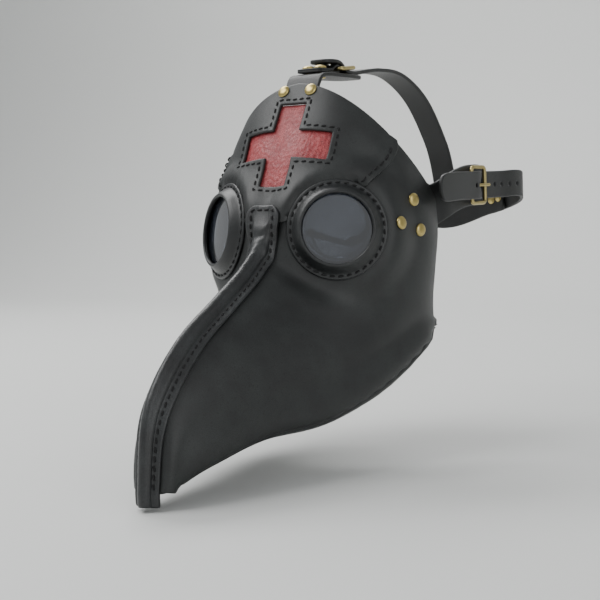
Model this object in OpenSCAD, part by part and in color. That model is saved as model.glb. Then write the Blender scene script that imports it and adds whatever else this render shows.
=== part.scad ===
// Plague doctor mask: a leather half-hood with a long curved beak, round
// goggles, a cross window and three buckled straps.
// The mask faces -Y, +X is the wearer's left, +Z is up, in millimetres.
// The origin lies midway between the temples at the height of the eyes.

/* [Leather] */
// Thickness of the panels
hide = 2.5; // [2:0.1:3]
// Thickness of the cross inlay
inlay_hide = 1.2; // [0.8:0.1:1.6]
// Width by which the cheek panels run under the forehead panel, as a share of a rib step
seam_lap = 0.28; // [0.15:0.01:0.35]

/* [Goggles] */
// Radius of the opening in each goggle
goggle_open_r = 23.7; // [22:0.1:25]
// Outer radius of the stitched flange
goggle_flange_r = 34; // [33:0.5:36]
// Height of the lip above the flange's underside
goggle_h = 9; // [8:0.5:12]
// Distance of a goggle's centre from the centre plane
goggle_x = 44.5; // [43.5:0.5:46]
// Angle by which the goggles face outwards
goggle_yaw = 32; // [28:1:36]
// Angle by which the goggles face upwards
goggle_pitch = 9; // [5:1:12]

/* [Cross] */
// Span of the cross from arm end to arm end
cross_span = 68; // [60:1:70]
// Height of the cross
cross_h = 64; // [58:1:66]
// Width of the arms
cross_arm = 21; // [16:1:24]

/* [Straps] */
// Width of the straps
strap_w = 20; // [16:1:20]
// Thickness of the straps
strap_t = 2.8; // [2:0.1:3]
// Diameter of the punched holes
hole_d = 3.2; // [2.5:0.1:3.6]
// Distance between punched holes
hole_pitch = 10.5; // [9:0.5:12]

/* [Fittings] */
// Diameter of a rivet cap
rivet_d = 9; // [8:0.5:10]
// Diameter of the buckle wire
wire_d = 3; // [2.6:0.1:3]
// Distance between a buckle's heel bar and its front bar
buckle_l = 18; // [17:0.5:20]

/* [Hidden] */
$fn = 64;

leather = [0.13, 0.13, 0.13];
red_leather = [0.66, 0.25, 0.25];
brass = [0.66, 0.58, 0.33];
smoked = [0.10, 0.11, 0.14];
gap = 0.05;

// The form of the panels' inner face, left half. Each rib runs from the
// centre line to the rear edge or the lower seam: centre point, its handle,
// the edge point's handle, edge point.
ribs = [
    [[0, -57, 100], [45, -64, 97], [78, -47, 50], [75, -9, 18]],
    [[0, -72, 73], [41, -71, 92], [92, -62, 17], [76, -9, -6]],
    [[0, -88, 43], [30, -90, 68], [93, -66, -11], [75, -12, -28]],
    [[0, -102, 16], [31, -92, 26], [93, -76, -30], [73, -13, -50]],
    [[0, -111, -10], [29, -102, -15], [90, -76, -50], [70, -8, -69]],
    [[0, -131, -28], [27, -118, -35], [77, -95, -73], [61, -62, -98]],
    [[0, -163, -47], [26, -152, -53], [61, -128, -92], [45, -114, -117]],
    [[0, -198, -66], [21, -190, -74], [42, -172, -104], [29, -162, -120]],
    [[0, -222, -88], [17, -217, -96], [26, -212, -118], [17, -206, -131]],
    [[0, -233, -112], [16, -232, -116], [18, -228, -131], [11, -226, -141]],
    [[0, -238, -152], [16, -238, -152], [14, -236, -151], [9, -233, -149]]];
rib_jaw = 4;
rib_end = len(ribs) - 1;

// The underside: the handle of each edge point, the handle of the middle
// point and the middle point, for the ribs from the jaw to the tip.
chin = [
    [[69, -17, -84], [34, -60, -98], [0, -60, -98]],
    [[60, -66, -111], [32, -82, -117.5], [0, -82, -117.5]],
    [[43, -116, -122], [24, -120, -125], [0, -120, -125]],
    [[27, -163, -123], [15, -164, -126], [0, -164, -126]],
    [[15, -206, -133], [8, -205, -134.5], [0, -205, -134.5]],
    [[9, -226, -142], [5, -225, -143], [0, -225, -143]],
    [[7, -237, -151], [4, -236, -151], [0, -236, -151]]];

// The seam between forehead and cheek: rib position over the share of the rib.
seam_top = 0.645;
seam = [[0, 3.45], [0.12, 3.4], [0.51, 1.86], [seam_top, 0]];

goggle_at = [goggle_x, -87.5, -0.5];
goggle_axis = [sin(goggle_yaw) * cos(goggle_pitch), -cos(goggle_yaw) * cos(goggle_pitch),
    sin(goggle_pitch)];
flat_r = goggle_flange_r + 1;
blend_r = flat_r + 19;
socket_r = 27.5;

tongue_rib = 3;
ridge_rise = 5.5;
ridge_past = 8;

post_r = 1.6;
cap_r = rivet_d / 2;

function smooth(a) = let (c = min(max(a, 0), 1)) c * c * (3 - 2 * c);
function mix(a, b, f) = a + (b - a) * f;
function unit(a) = a / norm(a);
function flip(p) = [-p[0], p[1], p[2]];
function table(rows, x, i = 0) =
    i >= len(rows) - 2 || x < rows[i + 1][0]
    ? mix(rows[i][1], rows[i + 1][1],
        min(max((x - rows[i][0]) / (rows[i + 1][0] - rows[i][0]), 0), 1))
    : table(rows, x, i + 1);

// A Catmull-Rom curve through the points p[lo] to p[hi], v counting points.
function at(p, i, lo, hi) =
    i < lo ? 2 * p[lo] - p[lo + 1] : i > hi ? 2 * p[hi] - p[hi - 1] : p[i];
function through(p, v, lo, hi) =
    let (i = min(max(floor(v), lo), hi - 1), f = v - i,
        a = at(p, i - 1, lo, hi), b = p[i], c = p[i + 1], d = at(p, i + 2, lo, hi))
    0.5 * (2 * b + (c - a) * f + (2 * a - 5 * b + 4 * c - d) * f * f
        + (3 * b - a - 3 * c + d) * f * f * f);
function curve(p, steps) =
    [for (i = [0:steps]) through(p, i / steps * (len(p) - 1), 0, len(p) - 1)];
function bezier(p, u) =
    pow(1 - u, 3) * p[0] + 3 * pow(1 - u, 2) * u * p[1] + 3 * (1 - u) * u * u * p[2]
    + pow(u, 3) * p[3];

rail_centre = [for (r = ribs) r[0]];
rail_a = [for (r = ribs) r[1]];
rail_b = [for (r = ribs) r[2]];
rail_edge = [for (r = ribs) r[3]];
function edge(v) = v < rib_jaw ? through(rail_edge, v, 0, rib_jaw)
    : through(rail_edge, v, rib_jaw, rib_end);
function rib(v) = [through(rail_centre, v, 0, rib_end), through(rail_a, v, 0, rib_end),
    through(rail_b, v, 0, rib_end), edge(v)];

// The ribs meet at an angle in the centre plane; this rounds that fold.
fold_w = 5;
function rounded(u, v) =
    let (r = rib(v), p = bezier(r, u), e = 0.02,
        d = through(rail_centre, min(v + e, rib_end), 0, rib_end)
            - through(rail_centre, max(v - e, 0), 0, rib_end),
        n = unit([0, d[2], -d[1]]), slope = (r[1] - r[0]) * n / (r[1][0] - r[0][0]))
    p + n * (slope * (sqrt(p[0] * p[0] + fold_w * fold_w) - p[0]));
// The panels lie flat under each goggle's flange.
function flatten(p) =
    let (h = (p - goggle_at) * goggle_axis, r = norm(p - goggle_at - h * goggle_axis),
        k = abs(h) < 45 ? smooth((blend_r - r) / (blend_r - flat_r)) : 0)
    p - (k * h) * goggle_axis;
function form(u, v) = flatten(rounded(u, v));
function form_out(u, v) =
    let (e = 0.02, a = min(max(u, e), 1 - e), b = min(max(v, e), rib_end - e),
        n = unit(cross(form(a, b + e) - form(a, b - e), form(a + e, b) - form(a - e, b))))
    u < e ? unit([0, n[1], n[2]]) : n;
function skin_point(u, v, off) = form(u, v) + off * form_out(u, v);
// The share of a rib at which it is x millimetres from the centre plane.
function share_at(v, x, lo = 0, hi = 0.7, n = 9) =
    let (m = (lo + hi) / 2)
    n == 0 ? m : form(m, v)[0] < x ? share_at(v, x, m, hi, n - 1) : share_at(v, x, lo, m, n - 1);

// A closed sheet between two grids of points with the same numbers of rows.
module sheet(inner, outer) {
    rows = len(inner);
    cols = len(inner[0]);
    n = rows * cols;
    points = [for (g = [inner, outer]) for (r = g) for (p = r) p];
    faces = [
        for (i = [0:rows - 2]) for (j = [0:cols - 2])
            let (a = i * cols + j, b = a + 1, c = a + cols, d = c + 1)
            each [[a, b, d], [a, d, c], [n + a, n + d, n + b], [n + a, n + c, n + d]],
        for (j = [0:cols - 2]) let (a = j, b = j + 1, c = n - cols + j, d = c + 1)
            each [[a, n + a, n + b], [a, n + b, b], [c, n + d, n + c], [c, d, n + d]],
        for (i = [0:rows - 2]) let (a = i * cols, b = a + cols, c = a + cols - 1, d = c + cols)
            each [[a, b, n + b], [a, n + b, n + a], [c, n + d, d], [c, n + c, n + d]]];
    polyhedron(points = points, faces = faces, convexity = 8);
}

// A strap: a flat section swept along points, with the outward side given.
function strap_grid(path, outs, widths, off) = [for (i = [0:len(path) - 1])
    let (a = path[max(i - 1, 0)], b = path[min(i + 1, len(path) - 1)],
        side = unit(cross(b - a, outs[i])), out = unit(cross(side, b - a)))
    [for (s = [-1, 0, 1]) path[i] + side * (s * widths[i] / 2) + out * off]];
module strap(path, outs, widths, thick) {
    sheet(strap_grid(path, outs, widths, 0), strap_grid(path, outs, widths, thick));
}

// Turns +Z to the given direction.
module aim(at, dir) {
    translate(at)
        rotate([0, acos(dir[2] / norm(dir)), atan2(dir[1], dir[0])])
            children();
}

// Panels
function seam_rib(u) = table(seam, u);
// Distance from a goggle's axis. Under its flange the two panels meet edge to edge.
function goggle_far(u, v) =
    let (d = form(u, v) - goggle_at) norm(d - (d * goggle_axis) * goggle_axis);
lap_from = flat_r + 6;
function seam_top_rib(u) =
    let (s = seam_rib(u)) s + 0.02 - (seam_lap + 0.02) * smooth((goggle_far(u, s) - lap_from) / 5);
// Rise of the forehead panel over the cheek panels beside their seam.
function lap_rise(u, v) =
    hide * smooth(1.7 - (seam_rib(u) - v) / 0.5)
    * smooth((goggle_far(u, v) - flat_r) / (lap_from - flat_r));
module goggle_sockets() {
    for (s = [0, 1]) mirror([s, 0, 0])
        aim(goggle_at - 12 * goggle_axis, goggle_axis) cylinder(r = socket_r, h = 24);
}
module cross_shape(grow) {
    square([cross_span + 2 * grow, cross_arm + 2 * grow], center = true);
    square([cross_arm + 2 * grow, cross_h + 2 * grow], center = true);
}
cross_tilt = 28;
cross_at = [0, -84, 59];
module cross_cutter() {
    translate(cross_at) rotate([90 - cross_tilt, 0, 0])
        translate([0, 0, -28]) linear_extrude(60) cross_shape(0);
}
forehead_cols = 22;
forehead_rows = 20;
function forehead_grid(off) = [for (i = [0:forehead_rows]) [for (j = [-forehead_cols:forehead_cols])
    let (u = abs(j) / forehead_cols * (seam_top - 0.02), v = seam_rib(u) * i / forehead_rows,
        p = skin_point(u, v, off + lap_rise(u, v)))
    j < 0 ? flip(p) : p]];
module forehead_panel() {
    color(leather) difference() {
        sheet(forehead_grid(hide), forehead_grid(0));
        cross_cutter();
        goggle_sockets();
        rivet_bores(forehead_rivet_list);
    }
}
function inlay_grid(off) = [for (i = [0:16]) [for (j = [-9:9])
    let (v = mix(0.38, 2.75, i / 16),
        half = mix(cross_span / 2 + 7, 19, smooth((v - 1.8) / 0.35)),
        p = skin_point(share_at(v, abs(j) / 9 * half), v, off))
    j < 0 ? flip(p) : p]];
module cross_inlay() {
    color(red_leather) sheet(inlay_grid(-gap), inlay_grid(-gap - inlay_hide));
}
cheek_rows = 34;
cheek_cols = 18;
function cheek_grid(off) = [for (i = [0:cheek_rows]) [for (j = [0:cheek_cols])
    let (f = j / cheek_cols, top = max(seam_top_rib(f), 0), v = mix(top, 9.85, i / cheek_rows),
        u = max(f, share_at(v, 3)))
    skin_point(u, v, off)]];
module cheek_panel() {
    color(leather) difference() {
        sheet(cheek_grid(hide), cheek_grid(0));
        goggle_sockets();
        rivet_bores(temple_rivet_list);
    }
}
module cheek_panel_left() { cheek_panel(); }
module cheek_panel_right() { mirror([1, 0, 0]) cheek_panel(); }

// Beak ridge
ridge_rows = 44;
function ridge_v(i) = mix(tongue_rib, rib_end, pow(i / ridge_rows, 0.9));
// A size of the strip at rib v, given at its tongue, below the goggles and at the tip.
function ridge_size(v, tongue, neck, tip) =
    mix(mix(tongue, neck, smooth((v - 3.2) / 1.6)), tip, smooth((v - 5.2) / 4.3));
function ridge_half(v) =
    let (body = ridge_size(v, 13, 9, 8.7), end = (v - tongue_rib) * 26)
    end < 6 ? body - 6 + sqrt(36 - pow(6 - end, 2)) : body;
function ridge_lift(v) = 2 * hide - hide * smooth((v - 3.47) / 0.25);
function ridge_bump(x, v) =
    let (r = ridge_size(v, 8.6, 4.9, 4.9))
    smooth((v - tongue_rib - 0.05) / 1.1) * ridge_rise * (x < r ? sqrt(1 - pow(x / r, 2)) : 0);
ridge_cols = [-1, -0.82, -0.66, -0.6, -0.52, -0.38, -0.2, 0, 0.2, 0.38, 0.52, 0.6, 0.66, 0.82, 1];
// The rib that lies beside rib v of the centre line, x millimetres straight across.
function rib_beside(v, x, w, n = 4) =
    let (lo = max(v - 0.02, 0), hi = min(v + 0.02, rib_end), d = form(0, hi) - form(0, lo),
        away = (form(share_at(w, x), w) - form(0, v)) * d / (d * d))
    n == 0 ? w : rib_beside(v, x, min(w - away * (hi - lo), rib_end), n - 1);
function ridge_grid(off, bulk) = [for (i = [0:ridge_rows]) [for (s = ridge_cols)
    let (v = ridge_v(i), x = abs(s) * ridge_half(v), w = rib_beside(v, x, v), u = share_at(w, x),
        out = unit(mix(form_out(0, v), form_out(u, w), smooth((abs(s) - 0.35) / 0.3))),
        p = form(u, w) + (off + ridge_lift(v) + bulk * ridge_bump(x, v)) * out
            + (i == ridge_rows ? [0, 0, -ridge_past] : [0, 0, 0]))
    s < 0 ? flip(p) : p]];
module beak_ridge() {
    color(leather) sheet(ridge_grid(hide, 1), ridge_grid(gap, 0.8));
}

// Chin gusset
chin_rows = 22;
function chin_at(v) = [edge(v), for (k = [0:2])
    through([for (c = chin) c[k]], v - rib_jaw, 0, len(chin) - 1)];
function chin_point(w, v) = bezier(chin_at(v), w);
function chin_out(w, v) =
    let (e = 0.02, a = min(max(w, e), 1 - e), b = min(max(v, rib_jaw + e), rib_end - e),
        n = unit(cross(chin_point(a + e, b) - chin_point(a - e, b),
            chin_point(a, b + e) - chin_point(a, b - e))))
    w > 1 - e ? unit([0, n[1], n[2]]) : n;
function chin_grid(off) = [for (i = [0:chin_rows]) [for (j = [-9:9])
    let (w = 1 - abs(j) / 9, v = mix(rib_jaw, 9.85, i / chin_rows),
        p = chin_point(w, v) + off * chin_out(w, v))
    j > 0 ? flip(p) : p]];
module chin_gusset() {
    color(leather) sheet(chin_grid(0.4), chin_grid(hide + 0.4));
}

// Goggles
module goggle_ring() {
    color(leather) aim(goggle_at + (hide + gap) * goggle_axis, goggle_axis) rotate_extrude($fn = 96)
        polygon([[goggle_flange_r, 0], [goggle_flange_r, 1.6], [goggle_flange_r - 0.6, 2.2],
            [31.4, 2.4], [30.2, 3], [28.6, 5], [27.2, 7.2], [26.2, 8.4], [25.2, goggle_h],
            [goggle_open_r, goggle_h - 0.2], [goggle_open_r, goggle_h - 2.4],
            [24.6, goggle_h - 2.8], [26.6, 4.4], [27.4, 2], [27.8, 0]]);
}
module lens() {
    color(smoked) aim(goggle_at + (hide + gap) * goggle_axis, goggle_axis) rotate_extrude($fn = 96)
        polygon([[0, 2.2], [25.6, 2.2], [25.6, 4.4], [18, 5], [9, 5.4], [0, 5.5]]);
}
module lens_retainer() {
    under = -hide - 0.45;
    color(leather) aim(goggle_at + (hide + gap) * goggle_axis, goggle_axis) rotate_extrude($fn = 96)
        polygon([[23.8, under - 1.3], [29.6, under - 1.3], [29.6, under], [socket_r - gap, under],
            [socket_r - gap, 0], [25.8, 2.1], [23.8, 2.1]]);
}
module goggle_ring_left() { goggle_ring(); }
module goggle_ring_right() { mirror([1, 0, 0]) goggle_ring(); }
module lens_left() { lens(); }
module lens_right() { mirror([1, 0, 0]) lens(); }
module lens_retainer_left() { lens_retainer(); }
module lens_retainer_right() { mirror([1, 0, 0]) lens_retainer(); }

// Rivets: each is [outer face point, outward direction, grip length].
rivet_play = 0.4;
module rivet(grip) {
    back = grip + 2 * rivet_play;
    color(brass) rotate_extrude($fn = 48)
        polygon([[0, 2.5], [1.4, 2.4], [2.8, 1.9], [3.9, 1.2], [cap_r, rivet_play + 0.2],
            [cap_r, rivet_play], [post_r, rivet_play], [post_r, -back], [cap_r - 0.8, -back],
            [cap_r - 0.8, -back - 0.5], [cap_r - 1.6, -back - 1], [0, -back - 1.2]]);
}
module rivet_set(list) { for (r = list) aim(r[0], r[1]) rivet(r[2]); }
module rivet_bores(list) {
    for (r = list) aim(r[0] - 9 * unit(r[1]), r[1]) cylinder(r = post_r + gap, h = 14, $fn = 24);
}
function form_rivet(u, v, grip) = [skin_point(u, v, hide), form_out(u, v), grip];
tab_deep = 0.6;
tab_grip = hide + tab_deep + strap_t + 0.4;
temple_rivet_list = [form_rivet(0.74, 1.1, tab_grip), form_rivet(0.69, 2, tab_grip),
    form_rivet(0.81, 1.6, tab_grip)];
forehead_rivet_list = [for (s = [-1, 1]) let (r = form_rivet(0.085, 0.17, tab_grip))
    s < 0 ? [flip(r[0]), flip(r[1]), r[2]] : r];
module forehead_rivets() { rivet_set(forehead_rivet_list); }
module temple_rivets_left() { rivet_set(temple_rivet_list); }
module temple_rivets_right() { mirror([1, 0, 0]) rivet_set(temple_rivet_list); }

// Tabs: leather under the panel's edge that runs on beneath the buckle.
tab_rows = 20;
tab_under = 9;
temple_buckle_at = [83.2, 36, 25.5];
top_buckle_at = [0, -24, 112.2];
fold_t = 1.6;
pin_r = wire_d / 2;
fold_r = pin_r + 0.1 + fold_t;
temple_run = [[75, -9, 12], [79, 5, 18], [79.9, 20, 22.5], [79.9, 40, 25.5], [79.9, 66, 25.5]];
forehead_run = [[0, -57, 100], [0, -51, 107.2], [0, -40, 108.9], [0, -22, 108.9], [0, 10, 108.9]];
function beside(run, i, off, side, up) =
    let (f = (i - tab_under) / (tab_rows - tab_under) * (len(run) - 1),
        p = through(run, f, 0, len(run) - 1),
        d = unit(through(run, f + 0.1, 0, len(run) - 1) - through(run, f - 0.1, 0, len(run) - 1)),
        out = unit(cross(d, up)))
    p + up * side + out * off;
function temple_tab_grid(off) = [for (i = [0:tab_rows]) [for (j = [-4:4])
    let (w = j / 4, f = i / tab_under, inset = i == 0 ? 0.75 : 1)
    i <= tab_under
    ? skin_point(mix(0.62, 0.995, f), mix(1.6, 0.25, f) - w * inset * mix(0.85, 0.62, f),
        off - tab_deep)
    : beside(temple_run, i, off - gap, w * 15, [0, 0, 1])]];
function forehead_tab_grid(off) = [for (i = [0:tab_rows]) [for (j = [-4:4])
    let (w = j / 4, v = mix(0.34, 0.02, i / tab_under), x = abs(w) * (i == 0 ? 10 : 14))
    i <= tab_under
    ? let (p = skin_point(share_at(v, x), v, off - tab_deep)) (w < 0 ? p : flip(p))
    : beside(forehead_run, i, off - gap, w * 14, [-1, 0, 0])]];
module temple_tab() {
    color(leather) difference() {
        sheet(temple_tab_grid(0), temple_tab_grid(-strap_t));
        rivet_bores(temple_rivet_list);
        on_temple() chape_bores();
    }
}
module temple_tab_left() { temple_tab(); }
module temple_tab_right() { mirror([1, 0, 0]) temple_tab(); }
module forehead_tab() {
    color(leather) difference() {
        sheet(forehead_tab_grid(0), forehead_tab_grid(-strap_t));
        rivet_bores(forehead_rivet_list);
        on_top() chape_bores();
    }
}

// Buckles, in their own frame: the heel bar lies on Y at the origin, the
// front bar on +X and the outside on +Z.
frame_half = strap_w / 2 + wire_d;
bar_lift = 1.6;
frame_tilt = atan(bar_lift / buckle_l);
prong_tilt = asin((bar_lift + pin_r + 1.4) / buckle_l);
prong_r = 1.1;
chape_l = 24;
module on_temple() { translate(temple_buckle_at) rotate([90, 0, 90]) children(); }
module on_top() { translate(top_buckle_at) rotate([0, 0, 90]) children(); }
module buckle_frame() {
    side = wire_d + 0.4;
    color(brass) rotate([0, -frame_tilt, 0]) {
        for (x = [0, buckle_l]) translate([x, frame_half, 0])
            rotate([90, 0, 0]) cylinder(r = pin_r, h = 2 * frame_half, $fn = 32);
        for (s = [-1, 1]) translate([-pin_r - 0.3, s * frame_half - side / 2, -side / 2])
            cube([buckle_l + 2 * pin_r + 0.6, side, side]);
    }
}
module buckle_prong() {
    color(brass) rotate([0, -prong_tilt, 0]) difference() {
        union() {
            translate([0, 1.5, 0]) rotate([90, 0, 0]) cylinder(r = pin_r + 1.45, h = 3, $fn = 48);
            rotate([0, 90, 0]) cylinder(r = prong_r, h = buckle_l + 2.4, $fn = 32);
            translate([buckle_l + 2.4, 0, 0]) sphere(r = prong_r, $fn = 32);
        }
        translate([0, 2, 0]) rotate([90, 0, 0]) cylinder(r = pin_r + 0.06, h = 4, $fn = 48);
    }
}
module chape_bores() {
    for (s = [-1, 1]) translate([-16, s * 5, -9]) cylinder(r = post_r + gap, h = 14, $fn = 24);
}
module chape() {
    color(leather) difference() {
        translate([0, strap_w / 2, 0]) rotate([90, 0, 0]) linear_extrude(strap_w) {
            circle(r = fold_r, $fn = 48);
            polygon([[0, fold_r], [-3, fold_r - 0.6], [-8, 0], [-chape_l, 0],
                [-chape_l, -fold_r], [0, -fold_r]]);
        }
        translate([0, strap_w, 0]) rotate([90, 0, 0])
            cylinder(r = pin_r + 0.1, h = 2 * strap_w, $fn = 48);
        translate([-3.6, -1.8, -fold_r - 1]) cube([fold_r + 5, 3.6, 2 * fold_r + 2]);
        chape_bores();
    }
}
module chape_rivets() {
    for (s = [-1, 1]) translate([-16, s * 5, 0]) rivet(fold_r + strap_t + 2 * gap);
}
module buckle_frame_left() { on_temple() buckle_frame(); }
module buckle_frame_right() { mirror([1, 0, 0]) on_temple() buckle_frame(); }
module buckle_frame_top() { on_top() buckle_frame(); }
module buckle_prong_left() { on_temple() buckle_prong(); }
module buckle_prong_right() { mirror([1, 0, 0]) on_temple() buckle_prong(); }
module buckle_prong_top() { on_top() buckle_prong(); }
module chape_left() { on_temple() chape(); }
module chape_right() { mirror([1, 0, 0]) on_temple() chape(); }
module chape_top() { on_top() chape(); }
module chape_rivets_left() { on_temple() chape_rivets(); }
module chape_rivets_right() { mirror([1, 0, 0]) on_temple() chape_rivets(); }
module chape_rivets_top() { on_top() chape_rivets(); }

// Straps. Through a buckle a strap passes under the front bar and over the
// heel bar; these are its inner face's distances along and above the heel bar.
through_buckle = [[26, -3], [18, -3], [12.5, -2.5], [8, 0.4], [4, 3.1], [-1, 3.9], [-12, 4]];
rear_run = [[74, 131, 20], [60, 140, 15.5], [44, 146, 12], [22, 150, 9], [0, 151, 8]];
side_run = concat([[88.4, -25, 24.5], [88.2, 0, 25.5]],
    [for (i = [6:-1:0]) temple_buckle_at + [through_buckle[i][1], through_buckle[i][0], 0]],
    [[81.6, 84, 25.5], [84.5, 104, 26], [83, 118, 24.5]], rear_run);
side_end = len(side_run) - 3;
side_path = [for (i = [0:52]) through(side_run, i / 52 * side_end, 0, len(side_run) - 1)];
top_run = concat([for (i = [6:-1:0]) top_buckle_at + [0, through_buckle[i][0], through_buckle[i][1]]],
    [[0, 36, 113], [0, 72, 110], [0, 108, 92], [0, 137, 60], [0, 148.5, 36], [0, 151.4, 20],
        [0, 151.4, 8], [0, 151.4, -4]]);
function rear_out(p) = unit([p[0] / 90, max(p[1] - 60, 0) / 80, 0] + [0.01, 0, 0]);
function side_out(p) =
    p[1] < 100 ? [1, 0, 0] : unit(mix([1, 0, 0], rear_out(p), min((p[1] - 100) / 30, 1)));
function top_out(p) = unit([0, p[1] - 40, max(p[2] + 10, 0)]);
function tip_width(i) = strap_w * (i == 0 ? 0.7 : 1);
module strap_slot() {
    for (x = [2.1, 9.9]) translate([x, 0, -8]) cylinder(d = hole_d, h = 20, $fn = 24);
    translate([2.1, -hole_d / 2, -8]) cube([7.8, hole_d, 20]);
}
module strap_holes(first, last) {
    strap_slot();
    for (k = [first:last]) if (k != 0)
        translate([6 + k * hole_pitch, 0, -8]) cylinder(d = hole_d, h = 20, $fn = 24);
}
module side_strap() {
    color(leather) difference() {
        strap_body(side_path, [for (p = side_path) side_out(p)],
            [for (i = [0:52]) tip_width(i)], gap);
        on_temple() strap_holes(-1, 6);
        rivet_bores(side_rivet_list);
    }
}
module strap_body(path, outs, widths, off) {
    sheet(strap_grid(path, outs, widths, off + strap_t), strap_grid(path, outs, widths, off));
}
module top_strap() {
    path = curve(top_run, 48);
    color(leather) difference() {
        strap_body(path, [for (p = path) top_out(p)], [for (i = [0:48]) tip_width(i)], gap);
        on_top() strap_holes(1, 4);
        rivet_bores(top_rivet_list);
    }
}
module side_strap_left() { side_strap(); }
module side_strap_right() { mirror([1, 0, 0]) side_strap(); }
yoke_half = [for (i = [0:12]) through(rear_run, 1 + i / 4, 0, 4)];
yoke_deep = 0.25;
yoke_path = concat([for (i = [0:11]) yoke_half[i]], [for (i = [12:-1:0]) flip(yoke_half[i])]);
module rear_yoke() {
    color(leather) difference() {
        strap_body(yoke_path, [for (p = yoke_path) let (r = rear_out([abs(p[0]), p[1], p[2]]))
            p[0] < 0 ? flip(r) : p[0] == 0 ? [0, 1, 0] : r],
            [for (i = [0:24]) mix(36, 22, smooth(abs(i - 12) / 9))], -strap_t - yoke_deep);
        rivet_bores(side_rivet_list);
        mirror([1, 0, 0]) rivet_bores(side_rivet_list);
        rivet_bores(top_rivet_list);
    }
}
rear_grip = 2 * strap_t + gap + yoke_deep;
function rear_rivet(f) =
    let (p = through(rear_run, f, 0, 4),
        d = through(rear_run, f + 0.1, 0, 4) - through(rear_run, f - 0.1, 0, 4),
        out = unit(cross(cross(d, rear_out(p)), d)))
    [p + (strap_t + gap) * out, out, rear_grip];
side_rivet_list = [rear_rivet(1.25), rear_rivet(1.75)];
top_rivet_list = [for (z = [2, 13]) [[0, 151.7 + strap_t + gap, z], [0, 1, 0], rear_grip + 0.7]];
module side_strap_rivets_left() { rivet_set(side_rivet_list); }
module side_strap_rivets_right() { mirror([1, 0, 0]) rivet_set(side_rivet_list); }
module top_strap_rivets() { rivet_set(top_rivet_list); }

forehead_panel();
cross_inlay();
cheek_panel_left();
cheek_panel_right();
beak_ridge();
chin_gusset();
goggle_ring_left();
goggle_ring_right();
lens_left();
lens_right();
lens_retainer_left();
lens_retainer_right();
forehead_rivets();
temple_rivets_left();
temple_rivets_right();
forehead_tab();
temple_tab_left();
temple_tab_right();
top_strap();
side_strap_left();
side_strap_right();
rear_yoke();
chape_top();
chape_left();
chape_right();
chape_rivets_top();
chape_rivets_left();
chape_rivets_right();
buckle_frame_top();
buckle_frame_left();
buckle_frame_right();
buckle_prong_top();
buckle_prong_left();
buckle_prong_right();
side_strap_rivets_left();
side_strap_rivets_right();
top_strap_rivets();
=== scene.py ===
import math
import random
import bpy
import bmesh
import numpy as np
from mathutils import Matrix, Vector
from mathutils.geometry import delaunay_2d_cdt
from mathutils.kdtree import KDTree


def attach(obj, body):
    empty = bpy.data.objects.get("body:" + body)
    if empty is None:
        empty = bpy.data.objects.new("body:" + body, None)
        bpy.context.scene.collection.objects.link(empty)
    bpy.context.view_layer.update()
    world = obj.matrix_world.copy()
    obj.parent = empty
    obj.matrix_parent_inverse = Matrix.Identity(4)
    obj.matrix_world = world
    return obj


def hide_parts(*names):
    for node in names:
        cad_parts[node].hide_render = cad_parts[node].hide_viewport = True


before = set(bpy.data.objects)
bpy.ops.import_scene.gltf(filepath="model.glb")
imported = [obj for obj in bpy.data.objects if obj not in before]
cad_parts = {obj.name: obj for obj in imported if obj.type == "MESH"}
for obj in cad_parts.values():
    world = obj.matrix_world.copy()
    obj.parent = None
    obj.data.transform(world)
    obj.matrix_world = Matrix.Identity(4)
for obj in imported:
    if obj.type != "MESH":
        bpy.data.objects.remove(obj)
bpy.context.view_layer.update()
random.seed(7)
mm = 0.001

# The mask faces -Y and +X is the wearer's left. Shapes are worked out in millimetres.
mask = {
    "hide": 2.5,            # thickness of the panels
    "strap": 2.8,           # thickness of tabs and straps
    "gap": 0.05,
    "goggleAt": (44.5, -87.5, -0.5),
    "goggleYaw": 32,
    "gogglePitch": 9,
    "flangeRadius": 34,
    "socketRadius": 27.5,   # hole in the panels behind each goggle
    "handMade": 0.18,       # waviness of a hand-moulded panel
}

# The form of the panels' inner face, left half. Each rib runs from the centre line
# to the rear edge or the lower seam: point, handle, handle, point.
ribs = np.array([
    [[0, -57, 100], [45, -64, 97], [78, -47, 50], [75, -9, 18]],
    [[0, -72, 73], [41, -71, 92], [92, -62, 17], [76, -9, -6]],
    [[0, -88, 43], [30, -90, 68], [93, -66, -11], [75, -12, -28]],
    [[0, -102, 16], [31, -92, 26], [93, -76, -30], [73, -13, -50]],
    [[0, -111, -10], [29, -102, -15], [90, -76, -50], [70, -8, -69]],
    [[0, -131, -28], [27, -118, -35], [77, -95, -73], [61, -62, -98]],
    [[0, -163, -47], [26, -152, -53], [61, -128, -92], [45, -114, -117]],
    [[0, -198, -66], [21, -190, -74], [42, -172, -104], [29, -162, -120]],
    [[0, -222, -88], [17, -217, -96], [26, -212, -118], [17, -206, -131]],
    [[0, -233, -112], [16, -232, -116], [18, -228, -131], [11, -226, -141]],
    [[0, -238, -152], [16, -238, -152], [14, -236, -151], [9, -233, -149]]], float)
# The underside from the jaw to the tip: handle of the edge, handle of the middle, middle.
chin = np.array([
    [[69, -17, -84], [34, -60, -98], [0, -60, -98]],
    [[60, -66, -111], [32, -82, -117.5], [0, -82, -117.5]],
    [[43, -116, -122], [24, -120, -125], [0, -120, -125]],
    [[27, -163, -123], [15, -164, -126], [0, -164, -126]],
    [[15, -206, -133], [8, -205, -134.5], [0, -205, -134.5]],
    [[9, -226, -142], [5, -225, -143], [0, -225, -143]],
    [[7, -237, -151], [4, -236, -151], [0, -236, -151]]], float)
jawRib = 4
lastRib = len(ribs) - 1
ribAcross = 110             # sheet millimetres for the whole of a rib
ribStep = 27                # sheet millimetres from one rib to the next
chinHalf = 45               # sheet millimetres from the middle of the underside to its seam

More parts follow.
